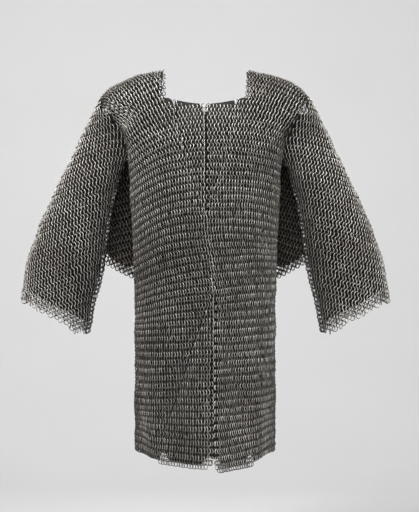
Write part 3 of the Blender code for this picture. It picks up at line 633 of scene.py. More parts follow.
@dataclass
class Stations:
    """Places of rings: a centre, the way up the sheet, the way out of it, the lean and a brightness share
    that carries painted shade (1 where none is painted).
    """

    centres: np.ndarray
    ups: np.ndarray
    outs: np.ndarray
    leans: np.ndarray
    # Painted shade for each ring: 1 at full brightness, less where the ring is darkened as if in shadow.
    wear: np.ndarray

    FIELDS = ("centres", "ups", "outs", "leans", "wear")

    @classmethod
    def none(cls) -> "Stations":
        """An empty list of places."""
        return cls(np.zeros((0, 3)), np.zeros((0, 3)), np.zeros((0, 3)), np.zeros(0), np.zeros(0))

    def __len__(self) -> int:
        """Number of rings."""
        return len(self.centres)

    def pick(self, mask: np.ndarray) -> "Stations":
        """The places where the mask is true."""
        return Stations(*(getattr(self, name)[mask] for name in self.FIELDS))

    def clear_of(self, other: "Stations", distance: float) -> np.ndarray:
        """Which rings keep their centres a distance away from all rings of another list.

        Args:
            other: the list to keep away from.
            distance: least distance between two centres.

        Returns:
            True for each ring that keeps it.
        """
        mask = np.ones(len(self), bool)
        for i, centre in enumerate(self.centres):
            mask[i] = np.min(np.sum((other.centres - centre) ** 2, axis=1)) > distance ** 2
        return mask

    @classmethod
    def joined(cls, parts: list["Stations"]) -> "Stations":
        """All places of several lists, in order.

        Args:
            parts: the lists, of which there may be none.

        Returns:
            One list.
        """
        if not parts:
            return cls.none()
        return cls(*(np.concatenate([getattr(part, name) for part in parts]) for name in cls.FIELDS))


class RingShape:
    """Mesh of one riveted ring: round wire, flattened where its ends lap, with a rivet's head."""

    RIVET_MAP = 0.1

    def __init__(self, sizes: RingSizes) -> None:
        """Works out the vertices, faces and map of one ring.

        Args:
            sizes: sizes of the ring.
        """
        self.sizes = sizes
        wire = sizes.wire / 2
        middle = (sizes.diameter - sizes.wire) / 2
        around = np.arange(sizes.segments) * math.tau / sizes.segments
        about = np.arange(sizes.wire_sides) * math.tau / sizes.wire_sides
        off = np.abs((around + math.pi) % math.tau - math.pi)
        lap = 1 - smooth_step(off, sizes.lap_half_angle * sizes.lap_core_share, sizes.lap_half_angle)
        width = wire * (1 + (sizes.lap_width_share - 1) * lap)
        thick = wire * (1 + (sizes.lap_thickness_share - 1) * lap)
        radial = middle + width[:, None] * np.cos(about)
        self.verts = np.stack([radial * np.cos(around)[:, None],
                               thick[:, None] * np.sin(about),
                               radial * np.sin(around)[:, None]], axis=-1).reshape(-1, 3)
        self.faces: list[tuple[int, ...]] = []
        self.maps: list[list[tuple[float, float]]] = []
        n, m = sizes.segments, sizes.wire_sides
        for i in range(n):
            for j in range(m):
                k, l = (i + 1) % n, (j + 1) % m
                self.faces.append((i * m + j, i * m + l, k * m + l, k * m + j))
                self.maps.append([(i / n, j / m), (i / n, (j + 1) / m),
                                  ((i + 1) / n, (j + 1) / m), ((i + 1) / n, j / m)])
        self._add_rivet(middle, float(thick[0]))

    def _add_rivet(self, middle: float, thick: float) -> None:
        """Adds the rivet's head on the outer face of the lap.

        Args:
            middle: radius of the wire's middle line.
            thick: half the wire's thickness at the lap.
        """
        sides = self.sizes.wire_sides
        known = len(self.verts)
        angles = np.arange(sides) * math.tau / sides
        rim = np.stack([middle + self.sizes.rivet_radius * np.cos(angles),
                        np.full(sides, thick / 2),
                        self.sizes.rivet_radius * np.sin(angles)], axis=-1)
        tip = np.array([[middle, thick + self.sizes.rivet_height, 0.0]])
        self.verts = np.concatenate([self.verts, rim, tip])
        for j in range(sides):
            self.faces.append((known + j, known + sides, known + (j + 1) % sides))
            self.maps.append([(0.0, 0.0), (0.0, self.RIVET_MAP), (self.RIVET_MAP, self.RIVET_MAP)])
        self.faces.append(tuple(known + j for j in range(sides)))
        self.maps.append([(0.0, 0.0)] * sides)


class MailPiece:
    """One object made of many separate rings, which rides on a body or is baked in place."""

    # Shares of each ring's reach out of the sheet between which its painted shade fades. Nearer the sheet,
    # the wire is painted near black as shade where neighbouring rings cover it. Further out, it keeps its
    # full, worn-bright colour.
    BURIED_SHARE = 0.48
    WORN_SHARE = 1.00
    MAP_SHARE = 0.9

    def __init__(self, name: str, stations: Stations, shape: RingShape, weave: WeaveSizes,
                 material: bpy.types.Material, slot: Slot) -> None:
        """Makes the object from the rings' places.

        Args:
            name: name of the object.
            stations: places of its rings.
            shape: mesh of one ring.
            weave: how much the rings may differ.
            material: finish of the rings.
            slot: material slot of the record that the finish stands for; not used.
        """
        self.name = name
        stations = weave.ruffled(stations)
        count = len(stations)
        chance = np.random.default_rng(sum((i + 1) * ord(letter) for i, letter in enumerate(name)))
        centres, offsets = self._turned(stations, shape, weave, chance)
        self.object = self._mesh(centres[:, None, :] + offsets, shape, count)
        # Painted shade: the inner half of each ring, which its neighbours cover, is darkened towards black.
        # The outer half keeps its worn-bright colour, and each station's painted shade is multiplied in.
        outward = np.einsum("nvj,nj->nv", offsets, stations.outs)
        reach = np.abs(np.sin(stations.leans))[:, None] * shape.sizes.diameter / 2
        lit_and_rubbed = smooth_step(outward / reach, self.BURIED_SHARE, self.WORN_SHARE)
        self._attribute("ring_wear", lit_and_rubbed * stations.wear[:, None])
        for attribute in ("ring_tint", "ring_patina"):
            self._attribute(attribute, np.repeat(chance.uniform(0.0, 1.0, count), len(shape.verts)))
        self.object.data.materials.append(material)

    def _turned(self, stations: Stations, shape: RingShape, weave: WeaveSizes,
                chance: np.random.Generator) -> tuple[np.ndarray, np.ndarray]:
        """Each ring's centre and its vertices from there, leant and turned a little by chance.

        Args:
            stations: places of the rings.
            shape: mesh of one ring.
            weave: how much the rings may differ.
            chance: source of the differences.

        Returns:
            One centre for each ring, and one offset for each ring and vertex.
        """
        count = len(stations)
        leans = stations.leans + chance.normal(0.0, weave.lean_jitter / 2, count)
        nod = chance.normal(0.0, weave.lean_jitter / 2, count)
        outs = unit(stations.outs + stations.ups * nod[:, None])
        ups = unit(stations.ups - outs * np.sum(stations.ups * outs, axis=1, keepdims=True))
        sides = np.cross(ups, outs)
        across = sides * np.cos(leans)[:, None] + outs * np.sin(leans)[:, None]
        facing = np.cross(ups, across)
        facing *= np.sign(np.sum(facing * outs, axis=1, keepdims=True))
        spin = chance.uniform(0.0, math.tau, count)
        scale = 1 + chance.normal(0.0, weave.size_jitter_share / 2, count)
        first = across * np.cos(spin)[:, None] + ups * np.sin(spin)[:, None]
        second = np.cross(first, facing)
        centres = stations.centres + chance.normal(0.0, weave.place_jitter / 2, (count, 3))
        axes = np.stack([first, facing, second], axis=1) * scale[:, None, None]
        return centres, np.einsum("vk,nkj->nvj", shape.verts, axes)

    def _mesh(self, verts: np.ndarray, shape: RingShape, count: int) -> bpy.types.Object:
        """The object with all rings' vertices and faces.

        Args:
            verts: vertices of all rings.
            shape: mesh of one ring.
            count: number of rings.

        Returns:
            The object, linked into the scene.
        """
        size = len(shape.verts)
        corners = np.concatenate([np.array(face) for face in shape.faces])
        totals = np.array([len(face) for face in shape.faces])
        mesh = bpy.data.meshes.new(self.name)
        mesh.vertices.add(count * size)
        mesh.vertices.foreach_set("co", verts.astype(np.float32).ravel())
        mesh.loops.add(count * len(corners))
        all_corners = (corners[None, :] + np.arange(count)[:, None] * size).ravel()
        mesh.loops.foreach_set("vertex_index", all_corners.astype(np.int32))
        mesh.polygons.add(count * len(totals))
        starts = np.concatenate([[0], np.cumsum(np.tile(totals, count))[:-1]])
        mesh.polygons.foreach_set("loop_start", starts.astype(np.int32))
        cell = math.ceil(math.sqrt(max(count, 1)))
        local = np.concatenate([np.array(places) for places in shape.maps]) * self.MAP_SHARE
        local = local + (1 - self.MAP_SHARE) / 2
        corner_cells = np.stack([np.arange(count) % cell, np.arange(count) // cell], axis=-1)
        spots = (local[None, :, :] + corner_cells[:, None, :]) / cell
        layer = mesh.uv_layers.new(name="OFBake")
        layer.data.foreach_set("uv", spots.astype(np.float32).ravel())
        mesh.update(calc_edges=True)
        mesh.validate()
        mesh.shade_smooth()
        item = bpy.data.objects.new(self.name, mesh)
        bpy.context.scene.collection.objects.link(item)
        return item

    def _attribute(self, name: str, values: np.ndarray) -> None:
        """Gives the mesh one number for each vertex."""
        layer = self.object.data.attributes.new(name, "FLOAT", "POINT")
        layer.data.foreach_set("value", values.astype(np.float32).ravel())

    def ride(self, body: str) -> "MailPiece":
        """Makes the piece move with a body."""
        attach(self.object, body)
        return self

    def bend(self, first: str, second: str, start: Vector, end: Vector) -> "MailPiece":
        """Bakes the piece's placement into its mesh."""
        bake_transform(self.object, first, second, start=tuple(start), end=tuple(end))
        return self


class TrunkWeave:
    """Rows of rings round the trunk and over the shoulders."""

    TOP_RISE = 0.170
    HEM_BLEND = 0.150
    SAMPLES = 161
    SETTLE_STEPS = 3
    NUDGE = 1e-4
    RIDGE_MARGIN = 0.0030
    SIDE_SHARE = 0.80
    # Share of the lower trunk's painted shade that the wearer's left half gets.
    LEFT_DULL_SHARE = 0.4

    def __init__(self, drape: Drape, weave: WeaveSizes, rows: RowShape) -> None:
        """Keeps the surface and the sizes, and measures a full row.

        Args:
            drape: the drape surface.
            weave: spacing and lean of the rings.
            rows: how the rows sag.
        """
        self.drape = drape
        self.weave = weave
        self.rows = rows
        samples = np.linspace(0.0, 1.0, self.SAMPLES)
        points, _ = self.row(Side.LEFT, Face.FRONT, samples, -drape.t.breast_drop)
        self.full_length = float(lengths_along(points)[-1])

    def rise(self, side: Side, face: Face, level: float, place: np.ndarray) -> np.ndarray:
        """How much higher than in the middle a row lies, which near the hem follows the hem.

        Args:
            side: the wearer's side.
            face: the front or the back.
            level: the row's height in the middle.
            place: places along X.

        Returns:
            One height for each place.
        """
        t = self.drape.t
        middle = t.right_hem_rise
        if face is Face.BACK:
            middle = middle * smooth_step(-place, -t.split_offset, t.split_offset)
        elif side is Side.LEFT:
            middle = 0.0
        hem = middle + (t.side_hem_rise - middle) * (place / t.hem_half_width) ** 2
        at_hem = 1 - smooth_step(np.array(level), -t.shirt_drop, -t.shirt_drop + self.HEM_BLEND)
        return at_hem * hem + (1 - at_hem) * self.rows.rise(level, place)

    def row(self, side: Side, face: Face, share: np.ndarray, level: float) -> tuple[np.ndarray, np.ndarray]:
        """Points of one row, and the length left before the shoulder ridge.

        Args:
            side: the wearer's side.
            face: the front or the back.
            share: shares of the turn from the middle to the side or seam.
            level: the row's height in the middle.

        Returns:
            The points, and the length left for each.
        """
        height = np.full_like(share, level)
        for _ in range(self.SETTLE_STEPS):
            width = self.drape.half_width(height)
            middle = self.drape.centre_place(side, height) if face is Face.FRONT else np.zeros_like(height)
            begin = np.arcsin(np.clip(side * middle / width, -1.0, 1.0))
            place = side * width * np.sin(begin + (QUARTER - begin) * share)
            height = level + self.rise(side, face, level, place)
        return self.drape.sheet(side, face, share, height)

    def places(self, level: float, odd: bool, skips_middle: bool, over: float, length: float) -> np.ndarray:
        """Lengths along a row, from the middle, at which its rings lie.

        Args:
            level: the row's height in the middle.
            odd: whether the row is set half a ring aside.
            skips_middle: whether an odd row has no ring in the middle.
            over: how far the rings reach over an open edge in the middle.
            length: the row's length to the side or seam.

        Returns:
            The lengths in rising order.
        """
        t, weave = self.drape.t, self.weave
        numbers = np.arange(weave.columns * 2) + (0.0 if odd else 0.5)
        if odd and skips_middle:
            numbers = numbers[1:]
        spread = weave.top_spread_share * smooth_step(np.array(level), -t.breast_drop, -t.neckline_drop)
        full = length if level <= -t.breast_drop else self.full_length * (1 + float(spread))
        share = numbers / weave.columns
        lengths = full * (share + weave.crowd_share * np.sin(share * math.pi) / math.pi)
        lengths = lengths - over * (1 - share)
        return lengths[lengths <= length + self.NUDGE]

    def stations(self, side: Side, face: Face) -> tuple[Stations, np.ndarray]:
        """All rings of one half of the front or back, and which of them are the hem's loose row.

        Args:
            side: the wearer's side.
            face: the front or the back.

        Returns:
            The rings, and a mask that is true for the loose row.
        """
        t, weave = self.drape.t, self.weave
        samples = np.linspace(0.0, 1.0, self.SAMPLES)
        parts: list[Stations] = []
        loose: list[np.ndarray] = []
        hem = -t.shirt_drop - weave.edge_overhang
        levels = [hem - weave.fringe_row_pitch] + list(np.arange(hem, self.TOP_RISE, weave.row_pitch))
        for number, level in enumerate(levels):
            odd = number % 2 == 0
            points, _ = self.row(side, face, samples, level)
            lengths = lengths_along(points)
            split = face is Face.FRONT and (level < -t.waist_drop or level > -t.slit_drop)
            drop = smooth_step(np.array(-level), t.waist_drop, t.shirt_drop)
            over = weave.edge_reach + weave.split_reach * float(drop) if split else 0.0
            wanted = self.places(level, odd, split or side is Side.LEFT, over, lengths[-1])
            if face is Face.BACK and odd and level <= -t.breast_drop:
                wanted = wanted[:-1]
            share = np.interp(wanted, lengths, samples)
            found, left = self.placed(side, face, share, level)
            pitch = np.gradient(wanted) if len(wanted) > 1 else np.full(len(wanted), weave.wide_pitch)
            found.leans = weave.lean(pitch) * (1 if odd else -1)
            # Painted shade: where the rings crowd, the rows that lean one way are darkened, as if the light
            # fell on the other rows only.
            if odd == (side is Side.LEFT):
                crowded = 1 - smooth_step(pitch, weave.dull_pitch, weave.even_pitch)
                found.wear *= 1 - weave.row_dulling * crowded
            found = found.pick(self.kept(found.centres, left))
            parts.append(found)
            loose.append(np.full(len(found), number == 0))
        return Stations.joined(parts), np.concatenate(loose)

    def placed(self, side: Side, face: Face, share: np.ndarray,
               level: float) -> tuple[Stations, np.ndarray]:
        """Rings of one row, upright, and the length left before the shoulder ridge.

        Args:
            side: the wearer's side.
            face: the front or the back.
            share: shares of the turn from the middle to the side or seam.
            level: the row's height in the middle.

        Returns:
            The rings, and the length left for each.
        """
        centres, left = self.row(side, face, share, level)
        step = self.NUDGE
        near = np.clip(share, step, 1 - step)
        rows = [self.row(side, face, near + aside, level + above)[0]
                for aside, above in ((step, 0.0), (-step, 0.0), (0.0, step), (0.0, -step))]
        along, up = unit(rows[0] - rows[1]), unit(rows[2] - rows[3])
        outs = unit(np.cross(along, up) * (-side * face))
        square = unit(np.cross(outs, along) * (-side * face))
        square *= np.sign(np.sum(square * up, axis=1, keepdims=True))
        # Painted shade: rings darken towards the sides, where the sheet turns away from the light, and
        # further down the trunk, most on the wearer's right.
        wear = 1 - self.weave.side_dulling * smooth_step(share, self.SIDE_SHARE, 1.0)
        t = self.drape.t
        low = smooth_step(-centres[:, 2], t.slit_drop / 2, t.slit_drop)
        right = smooth_step(-centres[:, 0], -t.split_offset, t.split_offset)
        share_shaded = self.LEFT_DULL_SHARE + (1 - self.LEFT_DULL_SHARE) * right
        wear = wear * (1 - self.weave.skirt_dulling * low * share_shaded)
        return Stations(centres, unit(square + up), outs, np.zeros(len(share)), wear), left

    def kept(self, centres: np.ndarray, left: np.ndarray) -> np.ndarray:
        """Which rings lie on the shirt, and not in the neck opening or past the ridge.

        Args:
            centres: centres of the rings.
            left: length left for each before the shoulder ridge.

        Returns:
            True for each ring that is kept.
        """
        t = self.drape.t
        reach = np.abs(centres[:, 0])
        over_neck = (reach < t.neck_half_width) & (centres[:, 2] > self.drape.neckline(reach))
        beside = (left < self.drape.over_ridge) & (reach < t.neck_half_width)
        return (left > self.RIDGE_MARGIN) & ~over_neck & ~beside


class SleeveWeave:
    """Rows of rings round a sleeve, tilted down towards its outer edge."""

    SHARES = 81
    HEIGHTS = 260
    ROWS_BELOW = 6
    TILTS = {Side.RIGHT: math.radians(21.5), Side.LEFT: math.radians(17.5)}
    LEVEL_REACH = 0.150
    TILT_REACH = 0.038
    EDGE_SHARE = 0.02
    # How far the sleeve's painted shade reaches: across from the inner edge at the armpit and at the seam,
    # and the drop below the armpit's top over which it comes in.
    ARMPIT_SHARE = 0.42
    SEAM_SHARE = 0.09
    ARMPIT_DROP = 0.045
    NUDGE = 2e-4

    def __init__(self, drape: Drape, weave: WeaveSizes) -> None:
        """Keeps the surface and the weave's sizes."""
        self.drape = drape
        self.weave = weave

    def rank(self, side: Side, points: np.ndarray) -> np.ndarray:
        """Height at which the row through a point would meet the trunk.

        Args:
            side: the wearer's side.
            points: points of the sleeve.

        Returns:
            One height for each point.
        """
        beyond = np.maximum(np.abs(points[..., 0]) - self.LEVEL_REACH, 0.0)
        fall = beyond - self.TILT_REACH * np.arctan(beyond / self.TILT_REACH)
        return points[..., 2] + math.tan(self.TILTS[side]) * fall

    def stations(self, side: Side, face: Face) -> tuple[Stations, np.ndarray]:
        """All rings of the front or back of one sleeve, and which hang loose below the cuff.

        Args:
            side: the wearer's side.
            face: the front or the back.

        Returns:
            The rings, and a mask that is true for those that hang loose.
        """
        weave = self.weave
        shares = np.linspace(0.0, 1.0, self.SHARES)
        lowest = -self.drape.s.inner_drop - weave.sleeve_row_pitch * self.ROWS_BELOW
        heights = np.linspace(0.0, lowest, self.HEIGHTS)
        ranks = self.rank(side, self.drape.sleeve(side, face, shares[:, None], heights[None, :]))
        levels = np.arange(float(ranks[:, 0].max()), float(ranks[:, -1].max()), -weave.sleeve_row_pitch)[1:]
        parts: list[Stations] = []
        anchor_point: np.ndarray | None = None
        for number, level in enumerate(levels):
            row_heights = np.array([np.interp(-level, -line, heights) for line in ranks])
            points = self.drape.sleeve(side, face, shares, row_heights)
            lengths = lengths_along(points)
            anchor = self.anchor(points, lengths, anchor_point)
            anchor_point = np.array([np.interp(anchor, lengths, points[:, k]) for k in range(3)])
            reach = int(lengths[-1] / weave.sleeve_pitch) + 2
            wanted = anchor + weave.sleeve_pitch * np.arange(-reach, reach + 1)
            margin = weave.sleeve_pitch * self.EDGE_SHARE
            wanted = wanted[(wanted > margin) & (wanted < lengths[-1] - margin)]
            if len(wanted):
                parts.append(self.placed(side, face, (shares, row_heights, lengths), wanted, number))
        found = Stations.joined(parts)
        cuff = self.drape.cuff_height(np.abs(found.centres[:, 0]))
        below = cuff - weave.edge_overhang - found.centres[:, 2]
        found = found.pick(below < weave.fringe_row_pitch)
        return found, below[below < weave.fringe_row_pitch] > 0

    def anchor(self, points: np.ndarray, lengths: np.ndarray, above: np.ndarray | None) -> float:
        """Length along a row of a ring that lies half a pitch beside the anchor of the row above.

        Args:
            points: points of the row.
            lengths: length along the row at each point.
            above: place of the anchor of the row above, if there is one.

        Returns:
            The length, which is held near the row's middle.
        """
        middle = float(lengths[-1]) / 2
        if above is None:
            return middle
        near = int(np.argmin(np.linalg.norm(points - above, axis=1)))
        first, last = max(near - 1, 0), min(near + 1, len(points) - 1)
        way = points[last] - points[first]
        share = float(np.clip(np.dot(above - points[first], way) / np.dot(way, way), 0.0, 1.0))
        pitch = self.weave.sleeve_pitch
        place = float(lengths[first] + (lengths[last] - lengths[first]) * share) + pitch / 2
        return place - pitch * round((place - middle) / pitch)

    def placed(self, side: Side, face: Face, row: tuple[np.ndarray, np.ndarray, np.ndarray],
               wanted: np.ndarray, number: int) -> Stations:
        """Rings of one row.

        Args:
            side: the wearer's side.
            face: the front or the back.
            row: shares, heights and lengths along the row.
            wanted: lengths along it at which rings lie.
            number: the row's number, which sets the way its rings lean.

        Returns:
            The rings' places.
        """
        shares, row_heights, lengths = row

        def at(places: np.ndarray) -> tuple[np.ndarray, np.ndarray]:
            """Share and height at lengths along the row."""
            return np.interp(places, lengths, shares), np.interp(places, lengths, row_heights)

        share, height = at(wanted)
        step = self.NUDGE
        sleeve = self.drape.sleeve
        along = unit(sleeve(side, face, *at(wanted + step)) - sleeve(side, face, *at(wanted - step)))
        up = unit(sleeve(side, face, share, height + step) - sleeve(side, face, share, height - step))
        outs = unit(np.cross(along, up) * (-side * face))
        ups = unit(np.cross(outs, along))
        ups *= np.sign(np.sum(ups * up, axis=1, keepdims=True))
        leans = self.weave.lean(np.full(len(wanted), self.weave.sleeve_pitch)) * (1 if number % 2 else -1)
        return Stations(sleeve(side, face, share, height), ups, outs, leans, self.wear(share, height))

    def wear(self, share: np.ndarray, height: np.ndarray) -> np.ndarray:
        """Painted shade on the rings: darker at the armpit and along the seam, where shade falls.

        Args:
            share: shares of the way from the sleeve's inner edge to its outer edge.
            height: heights of the rings.

        Returns:
            1 for each ring left at full brightness, and less where shade is painted.
        """
        top = self.drape.t.fold_top_drop
        inside = 1 - smooth_step(share, 0.0, self.ARMPIT_SHARE)
        inside = inside * smooth_step(-height, top, top + self.ARMPIT_DROP)
        at_seam = 1 - smooth_step(share, 0.0, self.SEAM_SHARE)
        return (1 - self.weave.armpit_dulling * inside) * (1 - self.weave.seam_dulling * at_seam)


class WebWeave:
    """Rings of the web that joins trunk and sleeve under the arm."""

    FALL = 0.30
    MARGIN = 0.0026
    PITCH_SHARE = 0.92

    def __init__(self, drape: Drape, weave: WeaveSizes) -> None:
        """Keeps the surface and the weave's sizes."""
        self.drape = drape
        self.weave = weave

    def foot(self, reach: np.ndarray, height: np.ndarray) -> np.ndarray:
        """Height of the web's rounded foot at a distance from the middle.

        Args:
            reach: distances from the middle plane.
            height: heights of the points.

        Returns:
            One height for each point.
        """
        t = self.drape.t
        inner, outer = self.drape.trunk_side(height), self.drape.sleeve_inner(height)
        share = (reach - inner) / np.maximum(outer - inner, self.MARGIN)
        return -t.web_drop + (t.web_drop - t.web_sleeve_drop) * share

    def stations(self, side: Side, face: Face) -> Stations:
        """Rings between the trunk's side and the sleeve's inner edge.

        Args:
            side: the wearer's side.
            face: the front or the back.

        Returns:
            The rings' places.
        """
        t, weave = self.drape.t, self.weave
        pitch = weave.sleeve_pitch * self.PITCH_SHARE
        width = t.shoulder_half_width - t.waist_half_width
        rows = np.arange(int((t.web_drop - t.fold_top_drop + width) / weave.row_pitch))
        numbers, columns = np.meshgrid(rows, np.arange(int(width / pitch) + 1), indexing="ij")
        reach = t.waist_half_width + pitch * (columns + 0.5 * (numbers % 2))
        height = -t.web_drop + numbers * weave.row_pitch - self.FALL * (reach - t.waist_half_width)
        foot = self.foot(reach, height)
        inside = (reach > self.drape.trunk_side(height) + self.MARGIN)
        inside &= (reach < self.drape.sleeve_inner(height) - self.MARGIN)
        inside &= (height > foot) & (height < -t.fold_top_drop - self.MARGIN)
        depth = t.web_half_depth * np.sqrt(np.clip((height - foot) / t.web_half_depth, 0.0, 1.0))
        centres = np.stack([side * reach, face * depth, height], axis=-1)[inside]
        leans = np.where(numbers % 2 == 1, 1.0, -1.0)[inside] * weave.lean(np.array(pitch))
        count = len(centres)
        return Stations(centres, np.tile((0.0, 0.0, 1.0), (count, 1)),
                        np.tile((0.0, float(face), 0.0), (count, 1)), leans, np.ones(count))


@dataclass(frozen=True)
class Fold:
    """A flap's fold line on the front, with the flap on its inner side."""

    top: Vector
    foot: Vector
    inward: Vector
    half_band: float = 0.008

    @classmethod
    def through(cls, top: Vector, foot: Vector, inside: Vector) -> "Fold":
        """A fold line through two points, with the flap towards a third.

        Args:
            top: one end of the line.
            foot: its other end.
            inside: a point of the flap.

        Returns:
            The fold line.
        """
        down = (foot - top).normalized()
        way = inside - top
        return cls(top, foot, (way - down * way.dot(down)).normalized())

    def distance(self, points: np.ndarray) -> np.ndarray:
        """Distances of points from the line, positive on the flap."""
        return (points - np.array(self.top)) @ np.array(self.inward)

    @property
    def middle(self) -> Vector:
        """Middle of the line."""
        return (self.top + self.foot) / 2

    @property
    def start(self) -> Vector:
        """Where the fixed side ends."""
        return self.middle - self.inward * self.half_band

    @property
    def end(self) -> Vector:
        """Where the flap begins to move as one."""
        return self.middle + self.inward * self.half_band


@dataclass(frozen=True)
class IronFinish:
    """Iron wire, worn bright on its outer side, and painted near black where other rings cover it and on
    rings set in shadow: painted shade.
    """

    name: str
    # Painted shade colour, for wire that other rings cover and for rings set in shadow.
    buried: Colour = (0.030, 0.028, 0.024, 1.0)
    dark: Colour = (0.300, 0.286, 0.260, 1.0)
    light: Colour = (0.850, 0.820, 0.769, 1.0)
    patina: Colour = (0.200, 0.155, 0.120, 1.0)
    patina_share: float = 0.44
    patina_spots: tuple[float, float] = (0.46, 0.66)
    patina_rings: tuple[float, float] = (0.45, 1.0)
    grain_scale: float = 620.0
    grain_detail: float = 4.0
    grain_share: float = 0.45
    cloud_scale: float = 620.0 / 60
    cloud_detail: float = 2.0
    roughness: tuple[float, float] = (0.34, 0.62)
    metallic: float = 0.70
    bump: float = 0.25
    bump_depth: float = 0.1 / 620.0

    def material(self) -> bpy.types.Material:
        """Builds the node material.

        Returns:
            The material.
        """
        nodes = Nodes(self.name)
        place = nodes.add("ShaderNodeTexCoord")
        tint = nodes.add("ShaderNodeAttribute", attribute_name="ring_tint")
        brown = nodes.add("ShaderNodeAttribute", attribute_name="ring_patina")
        wear = nodes.add("ShaderNodeAttribute", attribute_name="ring_wear")
        grain = nodes.noise(place.outputs["Object"], self.grain_scale, self.grain_detail)
        cloud = nodes.noise(place.outputs["Object"], self.cloud_scale, self.cloud_detail)
        tone = nodes.mix(nodes.value(self.grain_share), tint.outputs["Fac"], grain)
        colour = nodes.mix_colour(tone, nodes.colour(self.dark), nodes.colour(self.light))
        brown_spots = nodes.ramp(cloud, *self.patina_spots)
        brown_rings = nodes.ramp(brown.outputs["Fac"], *self.patina_rings)
        amount = nodes.maths("MAXIMUM", brown_spots, brown_rings)
        amount = nodes.maths("MULTIPLY", amount, nodes.value(self.patina_share))
        colour = nodes.mix_colour(amount, colour, nodes.colour(self.patina))
        # Painted shade: the ring attribute darkens the iron towards near black where rings cover each other
        # and where they lie in shadow.
        colour = nodes.mix_colour(wear.outputs["Fac"], nodes.colour(self.buried), colour)
        nodes.shade("Base Color", colour)
        nodes.shade("Roughness", nodes.mix(grain, *(nodes.value(rough) for rough in self.roughness)))
        nodes.set("Metallic", self.metallic)
        nodes.bump(grain, self.bump, self.bump_depth)
        return nodes.material


@dataclass(frozen=True)
class ClothFinish:
    """Black plain-woven cloth."""

    name: str
    dark: Colour = (0.006, 0.0058, 0.0055, 1.0)
    light: Colour = (0.020, 0.019, 0.018, 1.0)
    thread_scale: float = 900.0
    thread_share: float = 0.5
    cloud_scale: float = 900.0 / 40
    cloud_detail: float = 3.0
    roughness: float = 0.96
    bump: float = 0.5
    bump_depth: float = 0.25 / 900.0

    def material(self) -> bpy.types.Material:
        """Builds the node material.

        Returns:
            The material.
        """
        nodes = Nodes(self.name)
        place = nodes.add("ShaderNodeTexCoord")
        across = nodes.wave(place.outputs["Object"], self.thread_scale, "X")
        along = nodes.wave(place.outputs["Object"], self.thread_scale, "Z")
        weave = nodes.maths("MULTIPLY", across, along)
        cloud = nodes.noise(place.outputs["Object"], self.cloud_scale, self.cloud_detail)
        tone = nodes.mix(nodes.value(self.thread_share), cloud, weave)
        colour = nodes.mix_colour(tone, nodes.colour(self.dark), nodes.colour(self.light))
        nodes.shade("Base Color", colour)
        nodes.set("Roughness", self.roughness)
        nodes.bump(weave, self.bump, self.bump_depth)
        return nodes.material


MAIL_WIRE = IronFinish("mail_iron_wire")
EDGE_WIRE = IronFinish("edge_iron_wire", dark=(0.140, 0.134, 0.122, 1.0), light=(0.420, 0.400, 0.370, 1.0))
# A near-black copy of the iron for the web's rings under the arm: painted shade for that recess.
UNDERARM_SHADED_WIRE = IronFinish("underarm_iron_wire", dark=(0.030, 0.028, 0.024, 1.0),
                           light=(0.080, 0.076, 0.068, 1.0))
LINING_CLOTH = ClothFinish("lining_black_cloth")


@dataclass(frozen=True)
class StudioFinish:
    """Plain pale paint with the faintest mottling, seen through from behind."""

    name: str
    base: Colour = (0.84, 0.84, 0.84, 1.0)
    shade: Colour = (0.80, 0.80, 0.80, 1.0)
    cloud_scale: float = 3.0
    cloud_detail: float = 2.0
    roughness: float = 0.9

    def material(self) -> bpy.types.Material:
        """Builds the node material.

        Returns:
            The material.
        """
        nodes = Nodes(self.name)
        place = nodes.add("ShaderNodeTexCoord")
        cloud = nodes.noise(place.outputs["Object"], self.cloud_scale, self.cloud_detail)
        colour = nodes.mix_colour(cloud, nodes.colour(self.base), nodes.colour(self.shade))
        nodes.shade("Base Color", colour)
        nodes.set("Roughness", self.roughness)
        nodes.clear_behind()
        return nodes.material


